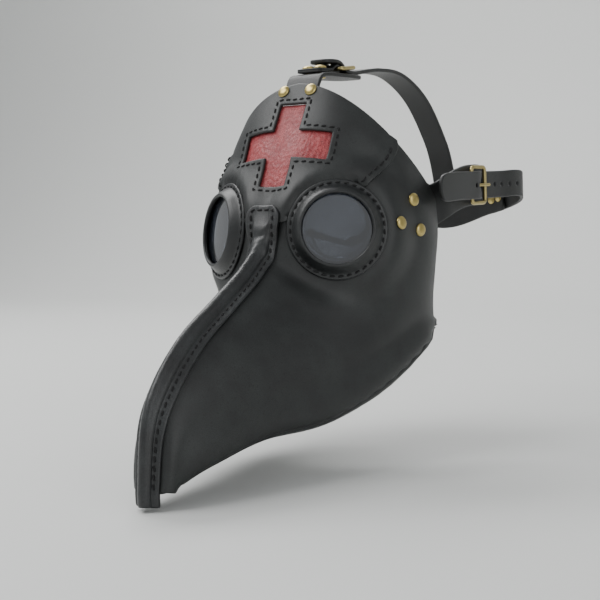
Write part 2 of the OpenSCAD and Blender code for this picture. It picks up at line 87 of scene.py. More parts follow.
# Seam between forehead and cheek: rib position over the share of the rib.
seam = [(0, 3.45), (0.12, 3.4), (0.51, 1.86), (0.645, 0)]
seamLap = 0.28              # by which the cheeks run under the forehead, in ribs


def smooth(a):
    c = np.clip(a, 0, 1)
    return c * c * (3 - 2 * c)


def unit(a):
    a = np.asarray(a, float)
    return a / np.maximum(np.linalg.norm(a, axis=-1, keepdims=True), 1e-12)


def lerp(a, b, f):
    return a + (b - a) * f


def through(points, v, lo, hi):
    # Catmull-Rom curve through points[lo] to points[hi], v counts points
    v = np.asarray(v, float)
    i = np.clip(np.floor(v).astype(int), lo, hi - 1)
    f = (v - i).reshape(v.shape + (1,) * (points.ndim - 1))

    def at(j):
        low = (j < lo).reshape(f.shape)
        high = (j > hi).reshape(f.shape)
        out = np.where(low, 2 * points[lo] - points[lo + 1], points[np.clip(j, lo, hi)])
        return np.where(high, 2 * points[hi] - points[hi - 1], out)

    a, b, c, d = at(i - 1), at(i), at(i + 1), at(i + 2)
    return 0.5 * (2 * b + (c - a) * f + (2 * a - 5 * b + 4 * c - d) * f**2
                  + (3 * b - a - 3 * c + d) * f**3)


def bezier(p0, p1, p2, p3, u):
    u = np.asarray(u, float)[..., None]
    return (1 - u)**3 * p0 + 3 * (1 - u)**2 * u * p1 + 3 * (1 - u) * u**2 * p2 + u**3 * p3


def edgeAt(v):
    upper = through(ribs[:, 3], np.minimum(v, jawRib), 0, jawRib)
    lower = through(ribs[:, 3], np.maximum(v, jawRib), jawRib, lastRib)
    return np.where((v < jawRib)[..., None], upper, lower)


yaw, pitch = math.radians(mask["goggleYaw"]), math.radians(mask["gogglePitch"])
goggleAxis = np.array([math.sin(yaw) * math.cos(pitch), -math.cos(yaw) * math.cos(pitch),
                       math.sin(pitch)])
goggleAt = np.array(mask["goggleAt"])
goggleRight = unit(np.cross([0, 0, 1], goggleAxis))
goggleUp = np.cross(goggleAxis, goggleRight)
flatRadius = mask["flangeRadius"] + 1
blendRadius = flatRadius + 19
noseHalf = 13               # over the nose the flat fades out within this distance
foldWidth = 5               # half width of the rounded fold along the centre plane


def mirrorFor(a):
    return np.where(a < 0, -1, 1)[..., None] ** np.array([1, 0, 0])


def rounded(p, rails, v):
    # the ribs meet at an angle in the centre plane; this rounds that fold
    run = through(ribs[:, 0], np.minimum(v + 0.02, lastRib), 0, lastRib)
    run = run - through(ribs[:, 0], np.maximum(v - 0.02, 0), 0, lastRib)
    out = unit(np.stack([0 * v, run[..., 2], -run[..., 1]], -1))
    handle = rails[1] - rails[0]
    slope = np.sum(handle * out, -1) / handle[..., 0]
    return p + out * (slope * (np.hypot(p[..., 0], foldWidth) - p[..., 0]))[..., None]


def formAt(u, v):
    # u is the share of a rib, negative on the wearer's right
    u, v = np.broadcast_arrays(np.asarray(u, float), np.asarray(v, float))
    rails = [through(ribs[:, k], v, 0, lastRib) for k in range(3)]
    p = rounded(bezier(rails[0], rails[1], rails[2], edgeAt(v), np.abs(u)), rails, v)
    away = p - goggleAt
    height = away @ goggleAxis
    radius = np.linalg.norm(away - height[..., None] * goggleAxis, axis=-1)
    hold = smooth((blendRadius - radius) / (blendRadius - flatRadius)) * (np.abs(height) < 45)
    hold = hold * smooth(p[..., 0] / noseHalf)
    p = p - (hold * height)[..., None] * goggleAxis
    return p * mirrorFor(u)


def chinForm(w, v):
    rails = [through(chin[:, k], v - jawRib, 0, len(chin) - 1) for k in range(3)]
    return bezier(edgeAt(v), rails[0], rails[1], rails[2], w)


def shareAt(x, v):
    # the signed share of a rib that lies x millimetres from the centre plane
    x, v = np.broadcast_arrays(np.asarray(x, float), np.asarray(v, float))
    lo, hi = np.zeros(x.shape), np.full(x.shape, 0.7)
    for _ in range(16):
        mid = (lo + hi) / 2
        short = formAt(mid, v)[..., 0] < np.abs(x)
        lo, hi = np.where(short, mid, lo), np.where(short, hi, mid)
    return np.copysign(lo, x)


# A sheet is a function place(a, b) that gives its underside for sheet points in
# millimetres, with its outer side where a cross b points.
def outAt(place, a, b):
    step = 0.3
    da = place(a + step, b) - place(a - step, b)
    db = place(a, b + step) - place(a, b - step)
    return unit(np.cross(da, db))


def lifted(base, lift):
    def place(a, b):
        a, b = np.broadcast_arrays(np.asarray(a, float), np.asarray(b, float))
        return base(a, b) + lift(a, b)[..., None] * outAt(base, a, b)
    return place


def flatForm(a, b):
    return formAt(np.asarray(a, float) / ribAcross, -np.asarray(b, float) / ribStep)


def seamRib(u):
    return np.interp(np.abs(u), [s[0] for s in seam], [s[1] for s in seam])


def goggleFar(u, v):
    # distance from a goggle's axis; under its flange the two panels meet edge to edge
    away = formAt(np.abs(u), v) - goggleAt
    return np.linalg.norm(away - (away @ goggleAxis)[..., None] * goggleAxis, axis=-1)


lapFrom = mask["flangeRadius"] - 1.5
lapFade = 3


def lapRise(a, b):
    # the forehead panel climbs over the cheek panels beside their seam
    u, v = a / ribAcross, -b / ribStep
    beside = smooth(1.7 - (seamRib(u) - v) / 0.5)
    return mask["hide"] * beside * smooth((goggleFar(u, v) - lapFrom) / lapFade)


foreheadForm = lifted(flatForm, lapRise)

# The cheeks and the underside meet in two turned-out edges sewn face to face.
flange = {
    "width": 7,
    "stitch": 3.4,          # seam to stitches
    "rise": 4.5,            # by which the seam lies above the edge of the form
    "sink": 4.5,            # by which the seam is drawn inwards
    "reach": 26,            # how far from the seam the leather follows it
    "bend": 4,
}


def seamOut():
    # the directions in which the flange hangs and in which the cheek is drawn in beside it
    v = np.linspace(jawRib, lastRib - 0.1, 50)
    one = np.ones_like(v)
    along = unit(edgeAt(v + 0.05) - edgeAt(v - 0.05))
    fromCheek = unit(np.cross(along, formAt(one - 0.06, v) - formAt(one, v)))
    fromChin = unit(np.cross(chinForm(one * 0.1, v) - edgeAt(v), along))
    out = unit(0.55 * fromCheek + fromChin)
    for _ in range(6):
        for d in (out, fromCheek):
            d[1:-1] = (d[:-2] + 2 * d[1:-1] + d[2:]) / 4
    return v, unit(out - np.sum(out * along, -1, keepdims=True) * along), -unit(fromCheek)


seamStations, seamOuts, seamIns = seamOut()


def seamLine(v):
    # point of the flange's root, the direction in which it hangs, and the move to its root
    v = np.clip(v, jawRib, lastRib)
    out, into = (unit(np.stack([np.interp(v, seamStations, d[:, k]) for k in range(3)], -1))
                 for d in (seamOuts, seamIns))
    move = (into * flange["sink"] - out * flange["rise"]) * flangeSize(v)[..., None]
    return edgeAt(v) + move, out, move


def flangeWidth(v):
    # the flange dies out under the ridge at the tip
    return flange["width"] * (1 - 0.9 * float(smooth((v - 8.6) / 1.3)))


def flangeSize(v):
    return 1 - 0.55 * smooth((v - 7.5) / 2.3)


def turnedOut(surface, distance, v, hold):
    # bends a surface round to the flange; distance runs from the seam outwards
    corner, out, move = seamLine(v)
    size = flangeSize(v)
    bend = flange["bend"] * size
    near = smooth(1 + distance / (flange["reach"] * size))
    sunk = surface + move * (hold * near)[..., None]
    t = np.clip((distance + bend) / (2 * bend), 0, 1)[..., None]
    straight = corner + out * (np.maximum(distance, 0) * size)[..., None]
    arc = (1 - t)**2 * sunk + 2 * t * (1 - t) * corner + t**2 * straight
    turn = np.where((distance > -bend)[..., None], arc, sunk)
    return sunk + (turn - sunk) * hold[..., None]


def cheekForm(a, b):
    a, b = np.broadcast_arrays(np.asarray(a, float), np.asarray(b, float))
    v = -b / ribStep
    u = np.minimum(a / ribAcross, 1)
    low = np.maximum(v, jawRib)
    length = np.linalg.norm(formAt(1.0, low) - formAt(0.94, low), axis=-1) / 0.06
    distance = np.where(a < ribAcross, (a / ribAcross - 1) * length, a - ribAcross)
    plain = formAt(u, v)
    beyond = formAt(1.0, v) - formAt(0.99, v)
    plain = plain + unit(beyond) * (np.maximum(a - ribAcross, 0) * (v < jawRib))[..., None]
    return turnedOut(plain, distance, v, smooth((v - jawRib + 0.15) / 0.5))


def gussetForm(a, b):
    a, b = np.broadcast_arrays(np.asarray(a, float), np.asarray(b, float))
    v = b / ribStep
    w = np.maximum(1 - np.abs(a) / chinHalf, 0)
    length = np.linalg.norm(edgeAt(v) - chinForm(0.1 + 0 * v, v), axis=-1) / 0.1
    distance = np.where(w > 0, -w * length, np.abs(a) - chinHalf)
    p = turnedOut(chinForm(w, v), distance, v, smooth((v - jawRib + 0.15) / 0.5))
    return p * mirrorFor(a)


# Outlines and lines are lists of sheet points.
def resample(line, step, place, closed=True):
    line = np.asarray(line, float)
    if closed:
        line = np.vstack([line, line[:1]])
    fine = [p + (q - p) * np.linspace(0, 1, 17)[:-1, None] for p, q in zip(line[:-1], line[1:])]
    fine = np.vstack(fine + [line[-1:]])
    spots = place(fine[:, 0], fine[:, 1])
    run = np.concatenate([[0], np.cumsum(np.linalg.norm(np.diff(spots, axis=0), axis=1))])
    at = np.linspace(0, run[-1], max(int(round(run[-1] / step)), 3) + 1)
    out = np.stack([np.interp(at, run, fine[:, k]) for k in range(2)], 1)
    return out[:-1] if closed else out


def keepCorners(corners, step, place):
    # resamples every side of an outline on its own, so that its corners stay
    ends = list(corners[1:]) + list(corners[:1])
    return np.vstack([resample([p, q], step, place, False)[:-1] for p, q in zip(corners, ends)])


def roundCorners(corners, radius, closed=True):
    out, n = [], len(corners)
    for i in range(n):
        if not closed and i in (0, n - 1):
            out.append(tuple(corners[i]))
            continue
        p, a, b = (np.asarray(corners[k % n], float) for k in (i, i - 1, i + 1))
        da, db = a - p, b - p
        ra, rb = (min(radius, np.linalg.norm(d) / 2.05) for d in (da, db))
        s, e = p + da / np.linalg.norm(da) * ra, p + db / np.linalg.norm(db) * rb
        out += [tuple((1 - f)**2 * s + 2 * f * (1 - f) * p + f**2 * e) for f in np.linspace(0, 1, 6)]
    return out


def insideOf(points, loop):
    x, y = points[:, 0][:, None], points[:, 1][:, None]
    x0, y0 = loop[:, 0][None], loop[:, 1][None]
    x1, y1 = np.roll(loop[:, 0], -1)[None], np.roll(loop[:, 1], -1)[None]
    cross = ((y0 > y) != (y1 > y)) & (x < (x1 - x0) * (y - y0) / (y1 - y0 + 1e-12) + x0)
    return cross.sum(1) % 2 == 1


def distanceTo(points, loop):
    best = np.full(len(points), 1e9)
    for a, v in zip(loop, np.roll(loop, -1, 0) - loop):
        f = np.clip(((points - a) @ v) / (v @ v + 1e-12), 0, 1)
        best = np.minimum(best, np.linalg.norm(points - a - f[:, None] * v, axis=1))
    return best


def notched(outline, cut):
    # an outline that runs round the inner side of a cut-out across its border
    inside = insideOf(outline, cut)
    if not inside.any():
        return outline
    start = next(i for i in range(len(outline)) if not inside[i] and inside[i - 1])
    kept = np.roll(outline, -start, 0)
    kept = kept[~np.roll(inside, -start)]
    within = insideOf(cut, outline)
    first = next(i for i in range(len(cut)) if within[i] and not within[i - 1])
    arc = np.roll(cut, -first, 0)
    arc = arc[np.roll(within, -first)]
    if np.linalg.norm(arc[0] - kept[-1]) > np.linalg.norm(arc[-1] - kept[-1]):
        arc = arc[::-1]
    return np.vstack([kept, arc])


def shiftLoop(loop, distance, place, closed=True):
    # the loop moved across the sheet by a real distance, to the left of its run
    p = place(loop[:, 0], loop[:, 1])
    d = unit(np.roll(p, -1, 0) - p) if closed else unit(np.diff(p, axis=0))
    before, after = (np.roll(d, 1, 0), d) if closed else (np.vstack([d[:1], d]), np.vstack([d, d[-1:]]))
    out = outAt(place, loop[:, 0], loop[:, 1])
    s0, s1 = unit(np.cross(out, before)), unit(np.cross(out, after))
    across = (s0 + s1) / np.maximum(1 + np.sum(s0 * s1, 1, keepdims=True), 0.6)
    step = 0.05
    ja = (place(loop[:, 0] + step, loop[:, 1]) - place(loop[:, 0] - step, loop[:, 1])) / (2 * step)
    jb = (place(loop[:, 0], loop[:, 1] + step) - place(loop[:, 0], loop[:, 1] - step)) / (2 * step)
    aa, ab, bb = (np.sum(x * y, 1) for x, y in ((ja, ja), (ja, jb), (jb, jb)))
    ra, rb = np.sum(ja * across, 1) * distance, np.sum(jb * across, 1) * distance
    det = aa * bb - ab * ab
    return loop + np.stack([(bb * ra - ab * rb) / det, (aa * rb - ab * ra) / det], 1)


def leftHanded(loop):
    x, y = loop[:, 0], loop[:, 1]
    return np.sum(x * np.roll(y, -1) - y * np.roll(x, -1)) > 0


def patternOn(place, targets, centre, right, up, guess):
    # sheet points at which a sheet meets a flat pattern's lines of sight
    targets = np.asarray(targets, float)
    ab = np.tile(np.asarray(guess, float), (len(targets), 1))
    for k in range(1, 15):
        want = targets * min(k / 5, 1)

        def seen(a, b):
            p = place(a, b) - centre
            return np.stack([p @ right, p @ up], -1)

        now = seen(ab[:, 0], ab[:, 1])
        da = (seen(ab[:, 0] + 0.1, ab[:, 1]) - seen(ab[:, 0] - 0.1, ab[:, 1])) / 0.2
        db = (seen(ab[:, 0], ab[:, 1] + 0.1) - seen(ab[:, 0], ab[:, 1] - 0.1)) / 0.2
        det = da[:, 0] * db[:, 1] - da[:, 1] * db[:, 0]
        miss = want - now
        ab = ab + np.stack([(miss[:, 0] * db[:, 1] - miss[:, 1] * db[:, 0]) / det,
                            (miss[:, 1] * da[:, 0] - miss[:, 0] * da[:, 1]) / det], 1)
    return ab


def nearestOn(place, point, a, b):
    ga, gb = np.meshgrid(np.linspace(*a, 60), np.linspace(*b, 60))
    far = np.linalg.norm(place(ga.ravel(), gb.ravel()) - np.asarray(point), axis=1)
    k = far.argmin()
    return ga.ravel()[k], gb.ravel()[k]


def circle(radius, count=96):
    t = np.linspace(0, 2 * math.pi, count, endpoint=False)
    return np.stack([radius * np.cos(t), radius * np.sin(t)], 1)


def newPiece(name, vertices, faces, weld=False):
    mesh = bpy.data.meshes.new(name)
    mesh.from_pydata([tuple(v) for v in np.asarray(vertices) * mm], [],
                     [tuple(int(i) for i in f) for f in faces])
    if weld:
        work = bmesh.new()
        work.from_mesh(mesh)
        bmesh.ops.remove_doubles(work, verts=work.verts, dist=1e-6)
        bmesh.ops.recalc_face_normals(work, faces=work.faces)
        work.to_mesh(mesh)
        work.free()
    mesh.validate()
    mesh.polygons.foreach_set("use_smooth", [True] * len(mesh.polygons))
    mesh.update()
    piece = bpy.data.objects.new(name, mesh)
    bpy.context.collection.objects.link(piece)
    return piece


def waves(points, size):
    # slow waves, for what hands and moulds leave in a sheet
    p = np.asarray(points) / size
    x, y, z = p[..., 0], p[..., 1], p[..., 2]
    return np.sin(2.1 * x + 1.3 * np.sin(1.7 * y)) * np.cos(1.9 * z + 0.8 * y)


def leatherSheet(name, place, outline, holes=(), thick=2.5, spacing=3.0, edge=0.8, relief=None):
    # a sheet with rounded edges
    rings = [0.0, 0.3 * edge, edge, 2.2 * edge]
    flat, height, edges = [], [], []
    loops = [np.asarray(outline, float)] + [np.asarray(h, float) for h in holes]
    for k, loop in enumerate(loops):
        inward = 1 if leftHanded(loop) == (k == 0) else -1
        for d in rings:
            first = sum(len(f) for f in flat)
            n = len(loop)
            flat.append(shiftLoop(loop, d * inward, place) if d else loop)
            height.append(np.full(n, d))
            edges += [(first + i, first + (i + 1) % n) for i in range(n)]
    reach = rings[-1] + 0.6 * spacing
    lo, hi = loops[0].min(0), loops[0].max(0)
    columns, rows = (int((hi[k] - lo[k]) / spacing) + 2 for k in (0, 1))
    grid = np.array([(lo[0] + (i + 0.5 * (j % 2)) * spacing, lo[1] + j * spacing)
                     for j in range(rows) for i in range(columns)])
    keep = insideOf(grid, loops[0]) & (distanceTo(grid, loops[0]) > reach)
    for loop in loops[1:]:
        keep &= ~insideOf(grid, loop) & (distanceTo(grid, loop) > reach)
    flat = np.vstack(flat + [grid[keep]])
    height = np.concatenate(height + [np.full(keep.sum(), 99.0)])
    spots, _, tris, origin, _, _ = delaunay_2d_cdt([Vector(p) for p in flat], edges, [], 0, 1e-6)
    spots = np.array([tuple(s) for s in spots])
    deep = np.array([height[o[0]] if o else 99.0 for o in origin])
    tris = np.array([t for t in tris if len(t) == 3])
    middle = spots[tris].mean(1)
    good = insideOf(middle, loops[0])
    for loop in loops[1:]:
        good &= ~insideOf(middle, loop)
    tris = tris[good]
    used = np.unique(tris)
    index = np.zeros(len(spots), int)
    index[used] = np.arange(len(used))
    spots, deep, tris = spots[used], deep[used], index[tris]
    e1 = spots[tris[:, 1]] - spots[tris[:, 0]]
    e2 = spots[tris[:, 2]] - spots[tris[:, 0]]
    turned = e1[:, 0] * e2[:, 1] - e1[:, 1] * e2[:, 0] < 0
    tris[turned] = tris[turned][:, ::-1]
    a, b = spots[:, 0], spots[:, 1]
    base, out = place(a, b), outAt(place, a, b)
    r = min(edge, thick / 2 - 0.05)
    drop = r * (1 - np.sqrt(1 - np.clip(1 - deep / r, 0, 1)**2 * 0.999))
    top = thick - drop + (relief(a, b, base) if relief else 0)
    wave = (mask["handMade"] * waves(base, 24))[:, None] * out
    n = len(spots)
    faces = [tuple(t) for t in tris] + [tuple(t[::-1] + n) for t in tris]
    sides = {(t[i], t[(i + 1) % 3]) for t in tris for i in range(3)}
    faces += [(q, p, p + n, q + n) for p, q in sides if (q, p) not in sides]
    upper, lower = base + out * top[:, None] + wave, base + out * drop[:, None] + wave
    return newPiece(name, np.vstack([upper, lower]), faces)


def mirrored(piece, name):
    mesh = piece.data.copy()
    mesh.transform(Matrix.Scale(-1, 4, Vector((1, 0, 0))))
    mesh.flip_normals()
    mesh.name = name
    twin = bpy.data.objects.new(name, mesh)
    bpy.context.collection.objects.link(twin)
    return twin


# Waxed thread in every seam, in millimetres.
thread = {"pitch": 6.0, "stitch": 4.6, "radius": 0.72, "flat": 0.85, "sink": 0.95, "rise": 0.25,
          "slant": 0.12}


def stitches(name, lines, place, height, closed=False, pitch=None):
    # lines run on the sheet, height is the sheet's outer face above place
    vertices, faces = [], []
    sides, rings = 8, 9
    f = np.linspace(-1, 1, rings)
    for line in lines:
        fine = resample(line, 0.8, place, closed)
        if closed:
            fine = np.vstack([fine, fine[:1]])
        out = outAt(place, fine[:, 0], fine[:, 1])
        base = place(fine[:, 0], fine[:, 1])
        spots = base + out * (height + mask["handMade"] * waves(base, 24))[:, None]
        run = np.concatenate([[0], np.cumsum(np.linalg.norm(np.diff(spots, axis=0), axis=1))])
        count = max(int(round(run[-1] / (pitch or thread["pitch"]))), 1)
        gap = run[-1] / count
        for k in range(count):
            length = gap * thread["stitch"] / thread["pitch"] * random.uniform(0.93, 1.05)
            at = (k + 0.5) * gap + f / 2 * length
            p = np.stack([np.interp(at, run, spots[:, i]) for i in range(3)], 1)
            o = unit(np.stack([np.interp(at, run, out[:, i]) for i in range(3)], 1))
            across = unit(np.cross(o, unit(np.gradient(p, axis=0))))
            lift = thread["rise"] - (thread["rise"] + thread["sink"]) * f**4
            lean = thread["slant"] * random.uniform(0.3, 1.6)
            p = p + o * lift[:, None] + across * (f * lean * length / 2)[:, None]
            radius = thread["radius"] * (1 - 0.25 * f**6) * random.uniform(0.94, 1.06)
            first = len(vertices)
            for i in range(rings):
                for j in range(sides):
                    t = 2 * math.pi * j / sides
                    spoke = math.cos(t) * across[i] + thread["flat"] * math.sin(t) * o[i]
                    vertices.append(p[i] + radius[i] * spoke)
            for i in range(rings - 1):
                for j in range(sides):
                    c, q = first + i * sides, (j + 1) % sides
                    faces.append((c + j, c + q, c + sides + q, c + sides + j))
            faces.append(tuple(first + j for j in range(sides))[::-1])
            faces.append(tuple(first + (rings - 1) * sides + j for j in range(sides)))
    return newPiece(name, vertices, faces)


def turnedShape(profile, steps):
    # points and faces of a closed profile of (radius, height) turned round an axis
    profile = np.asarray(profile, float)
    n = len(profile)
    t = np.arange(steps) * 2 * math.pi / steps
    points = np.array([(r * math.cos(s), r * math.sin(s), z) for s in t for r, z in profile])
    faces = [(i * n + j, (i + 1) % steps * n + j, (i + 1) % steps * n + (j + 1) % n,
              i * n + (j + 1) % n) for i in range(steps) for j in range(n)]
    return points, faces


def smoothLine(points, steps):
    points = np.asarray(points, float)
    last = len(points) - 1
    return through(points, np.linspace(0, last, last * steps + 1), 0, last)


def aimed(points, at, direction):
    z = unit(direction)
    x = unit(np.cross([0, 0, 1], z)) if abs(z[2]) < 0.99 else np.array([1.0, 0, 0])
    return np.asarray(at) + points[:, :1] * x + points[:, 1:2] * np.cross(z, x) + points[:, 2:3] * z


def joined(name, parts):
    # one piece from several lists of points and faces
    points, faces = [], []
    for p, f in parts:
        faces += [tuple(i + len(points) for i in face) for face in f]
        points += list(p)
    return newPiece(name, points, faces, weld=True)


def finished(piece, material, nodes=(), body="root"):
    piece.data.materials.clear()
    piece.data.materials.append(material)
    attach(piece, body)
    if nodes:
        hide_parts(*nodes)
    return piece


# Materials
def linear(code):
    # sRGB hex to linear colour
    rgb = [int(code[i:i + 2], 16) / 255 for i in (1, 3, 5)]
    return [c / 12.92 if c <= 0.04045 else ((c + 0.055) / 1.055)**2.4 for c in rgb] + [1.0]


def addNode(tree, kind, settings=(), **inputs):
    # inputs are values, or sockets to link; an underscore stands for a space
    node = tree.nodes.new("ShaderNode" + kind)
    for key, value in dict(settings).items():
        setattr(node, key, value)
    for key, value in inputs.items():
        name = key.replace("_", " ")
        slot = node.inputs[int(name[1:])] if name[0] == "i" and name[1:].isdigit() else node.inputs[name]
        if isinstance(value, bpy.types.NodeSocket):
            tree.links.new(value, slot)
        else:
            slot.default_value = value
    return node


def newMaterial(name):
    material = bpy.data.materials.new(name)
    material.use_nodes = True
    tree = material.node_tree
    shader = tree.nodes["Principled BSDF"]
    at = addNode(tree, "TexCoord").outputs["Object"]
    return material, tree, shader, at


def scaled(tree, value, low, high):
    return addNode(tree, "MapRange", i0=value, i3=low, i4=high).outputs[0]


def leather(name, look):
    # Chrome-tanned cowhide: a fine cell grain with painted shade in its creases, pull-up that pales in
    # patches, a waxy sheen
    material, tree, shader, at = newMaterial(name)
    patch = addNode(tree, "TexNoise", Vector=at, Scale=1 / (look["patch"] * mm), Detail=3.0,
                    Roughness=0.55)
    bend = addNode(tree, "TexNoise", Vector=at, Scale=0.4 / (look["grain"] * mm), Detail=2.0)
    drift = addNode(tree, "VectorMath", {"operation": "SCALE"}, i0=bend.outputs["Color"],
                    Scale=look["grain"] * mm)
    there = addNode(tree, "VectorMath", {"operation": "ADD"}, i0=at, i1=drift.outputs[0])
    cells = addNode(tree, "TexVoronoi", {"feature": "DISTANCE_TO_EDGE"}, Vector=there.outputs[0],
                    Scale=1 / (look["grain"] * mm))
    pebble = addNode(tree, "MapRange", {"interpolation_type": "SMOOTHSTEP"}, i0=cells.outputs["Distance"],
                     i2=look["crease"])
    pores = addNode(tree, "TexNoise", Vector=at, Scale=1 / (look["pore"] * mm), Detail=4.0, Roughness=0.6)
    rise = addNode(tree, "Math", {"operation": "MULTIPLY_ADD"}, i0=pores.outputs[0], i1=look["poreShare"],
                   i2=pebble.outputs[0])
    bump = addNode(tree, "Bump", Height=rise.outputs[0], Distance=look["depth"] * mm, Strength=1.0)
    shade = addNode(tree, "MapRange", {"interpolation_type": "SMOOTHSTEP"}, i0=patch.outputs[0],
                    i1=0.3, i2=0.75)
    colour = addNode(tree, "Mix", {"data_type": "RGBA"}, i0=shade.outputs[0], i6=linear(look["dark"]),
                     i7=linear(look["pale"]))
    # painted shade: the colour is multiplied darker in the grain's creases, between the cells
    deep = addNode(tree, "Mix", {"data_type": "RGBA", "blend_type": "MULTIPLY"}, i6=colour.outputs[2],
                   i7=linear(look["creaseShadeTint"]), i0=scaled(tree, pebble.outputs[0], 1.0, 0.0))
    tree.links.new(deep.outputs[2], shader.inputs["Base Color"])
    dull = scaled(tree, patch.outputs[0], *look["rough"])
    tree.links.new(dull, shader.inputs["Roughness"])
    tree.links.new(bump.outputs[0], shader.inputs["Normal"])
    shader.inputs["IOR"].default_value = 1.5
    shader.inputs["Coat Weight"].default_value = look["wax"]
    shader.inputs["Coat Roughness"].default_value = look["waxRough"]
    return material


# the crease tint is painted shade, multiplied into the colour in the grain's creases
panelLook = {"dark": "#161818", "pale": "#242827", "creaseShadeTint": "#a0a0a0", "patch": 22, "grain": 1.1,
             "crease": 0.12, "pore": 0.35, "poreShare": 0.35, "depth": 0.03, "rough": (0.40, 0.56),
             "wax": 0.12, "waxRough": 0.35}
ridgeLook = dict(panelLook, dark="#1a1b1c", pale="#2b2e2f", grain=1.5, depth=0.05,
                 rough=(0.34, 0.46), wax=0.2)
goggleLook = dict(panelLook, dark="#17191a", pale="#242727", rough=(0.36, 0.48), wax=0.2,
                  grain=0.9)
strapLook = dict(panelLook, dark="#121313", pale="#1d1f1f", rough=(0.42, 0.55), wax=0.08, grain=0.8)
inlayLook = dict(panelLook, dark="#a83a40", pale="#c25a5c", creaseShadeTint="#a04a4a", grain=0.9, crease=0.2,
                 depth=0.05, rough=(0.42, 0.52), wax=0.1, patch=8)
panelLeather = leather("panel leather", panelLook)
ridgeLeather = leather("ridge leather", ridgeLook)
goggleLeather = leather("goggle leather", goggleLook)
strapLeather = leather("bridle leather", strapLook)
inlayLeather = leather("red pebbled leather", inlayLook)


def waxedThread():
    # Polyester thread twisted from plies and waxed: a tight slanting rib with a soft shine
    material, tree, shader, at = newMaterial("waxed thread")
    ply = addNode(tree, "TexWave", Vector=at, Scale=420.0, Distortion=1.5)
    bump = addNode(tree, "Bump", Height=ply.outputs["Fac"], Distance=0.08 * mm, Strength=0.6)
    tree.links.new(bump.outputs[0], shader.inputs["Normal"])
    shader.inputs["Base Color"].default_value = linear("#070708")
    shader.inputs["Roughness"].default_value = 0.78
    return material


def brass(name, look):
    # Antique brass: cast or spun metal, browned in the lows and rubbed bright on the highs
    material, tree, shader, at = newMaterial(name)
    tarnish = addNode(tree, "TexNoise", Vector=at, Scale=1 / (2.5 * mm), Detail=5.0, Roughness=0.65)
    worn = addNode(tree, "NewGeometry").outputs["Pointiness"]
    high = addNode(tree, "MapRange", i0=worn, i1=0.47, i2=0.56)
    both = addNode(tree, "Math", {"operation": "MULTIPLY_ADD", "use_clamp": True},
                   i0=tarnish.outputs[0], i1=0.7, i2=high.outputs[0])
    colour = addNode(tree, "Mix", {"data_type": "RGBA"}, i0=both.outputs[0], i6=linear(look["dark"]),
                     i7=linear(look["bright"]))
    tree.links.new(colour.outputs[2], shader.inputs["Base Color"])
    tree.links.new(scaled(tree, tarnish.outputs[0], 0.42, 0.22), shader.inputs["Roughness"])
    shader.inputs["Metallic"].default_value = 1.0
    return material


def smokedLens():
    # Smoked polycarbonate with a half-mirror film: a dim grey-blue body that still shines
    material, tree, shader, at = newMaterial("smoked polycarbonate")
    haze = addNode(tree, "TexNoise", Vector=at, Scale=1 / (14 * mm), Detail=2.0)
    tree.links.new(scaled(tree, haze.outputs[0], 0.02, 0.05), shader.inputs["Roughness"])
    shader.inputs["Base Color"].default_value = linear("#3a3f49")
    shader.inputs["Transmission Weight"].default_value = 0.75
    shader.inputs["IOR"].default_value = 1.58
    shader.inputs["Coat Weight"].default_value = 1.0
    shader.inputs["Coat IOR"].default_value = 2.0
    shader.inputs["Coat Roughness"].default_value = 0.02
    return material


threadMaterial = waxedThread()
rivetBrass = brass("antique brass rivet", {"dark": "#6b5a2c", "bright": "#c9b675"})
buckleBrass = brass("antique brass buckle", {"dark": "#5c5030", "bright": "#b5a673"})
lensMaterial = smokedLens()
print("materials made", flush=True)

# Forehead panel with its cross-shaped window
cross = {"span": 68, "height": 64, "arm": 21, "tilt": 28, "at": (0, -84, 59), "corner": 0.8,
         "stitchAway": 3.4, "pitch": 5.6}
tilt = math.radians(cross["tilt"])
crossUp = np.array([0, math.sin(tilt), math.cos(tilt)])
crossRight = np.array([1.0, 0, 0])
s, h, w = cross["span"] / 2, cross["height"] / 2, cross["arm"] / 2
crossCorners = [(w, h), (-w, h), (-w, w), (-s, w), (-s, -w), (-w, -w), (-w, -h), (w, -h), (w, -w),
                (s, -w), (s, w), (w, w)]


def flatPlace(a, b):
    a, b = np.broadcast_arrays(np.asarray(a, float), np.asarray(b, float))
    return np.stack([a, b, 0 * a], -1)


crossGuess = nearestOn(foreheadForm, cross["at"], (-2, 2), (-80, -10))
crossLine = keepCorners(roundCorners(crossCorners, cross["corner"]), 2.4, flatPlace)
crossHole = patternOn(foreheadForm, crossLine, np.array(cross["at"]), crossRight, crossUp, crossGuess)
goggleGuess = nearestOn(flatForm, goggleAt, (5, 80), (-100, -10))


def goggleCut(place):
    return patternOn(place, circle(mask["socketRadius"]), goggleAt, goggleRight, goggleUp, goggleGuess)


def seamPoint(u, up=0.0):
    return (u * ribAcross, -(seamRib(u) - up) * ribStep)


seamEnd = 0.625
half = [seamPoint(u) for u in (0.0, 0.12, 0.25, 0.38, 0.51, 0.58, seamEnd)] + [(seamEnd * ribAcross, 0.0)]
outline = half + [(-a, b) for a, b in half[::-1]][:-1]
outline = resample(roundCorners(outline, 3), 3, foreheadForm)
leftCut = goggleCut(foreheadForm)
rightCut = leftCut * np.array([-1, 1])
outline = notched(notched(outline, leftCut), rightCut)
forehead = leatherSheet("foreheadPanel", foreheadForm, outline, [crossHole], mask["hide"])
finished(forehead, panelLeather, ["forehead_panel"])
print("forehead made", flush=True)

# Cross inlay: a pebbled red leather behind the window
inlay = {"thick": 1.2, "pebble": 2.7, "relief": 0.35, "margin": 6}


inlayForm = lifted(flatForm, lambda a, b: -mask["gap"] - inlay["thick"] + 0 * a)


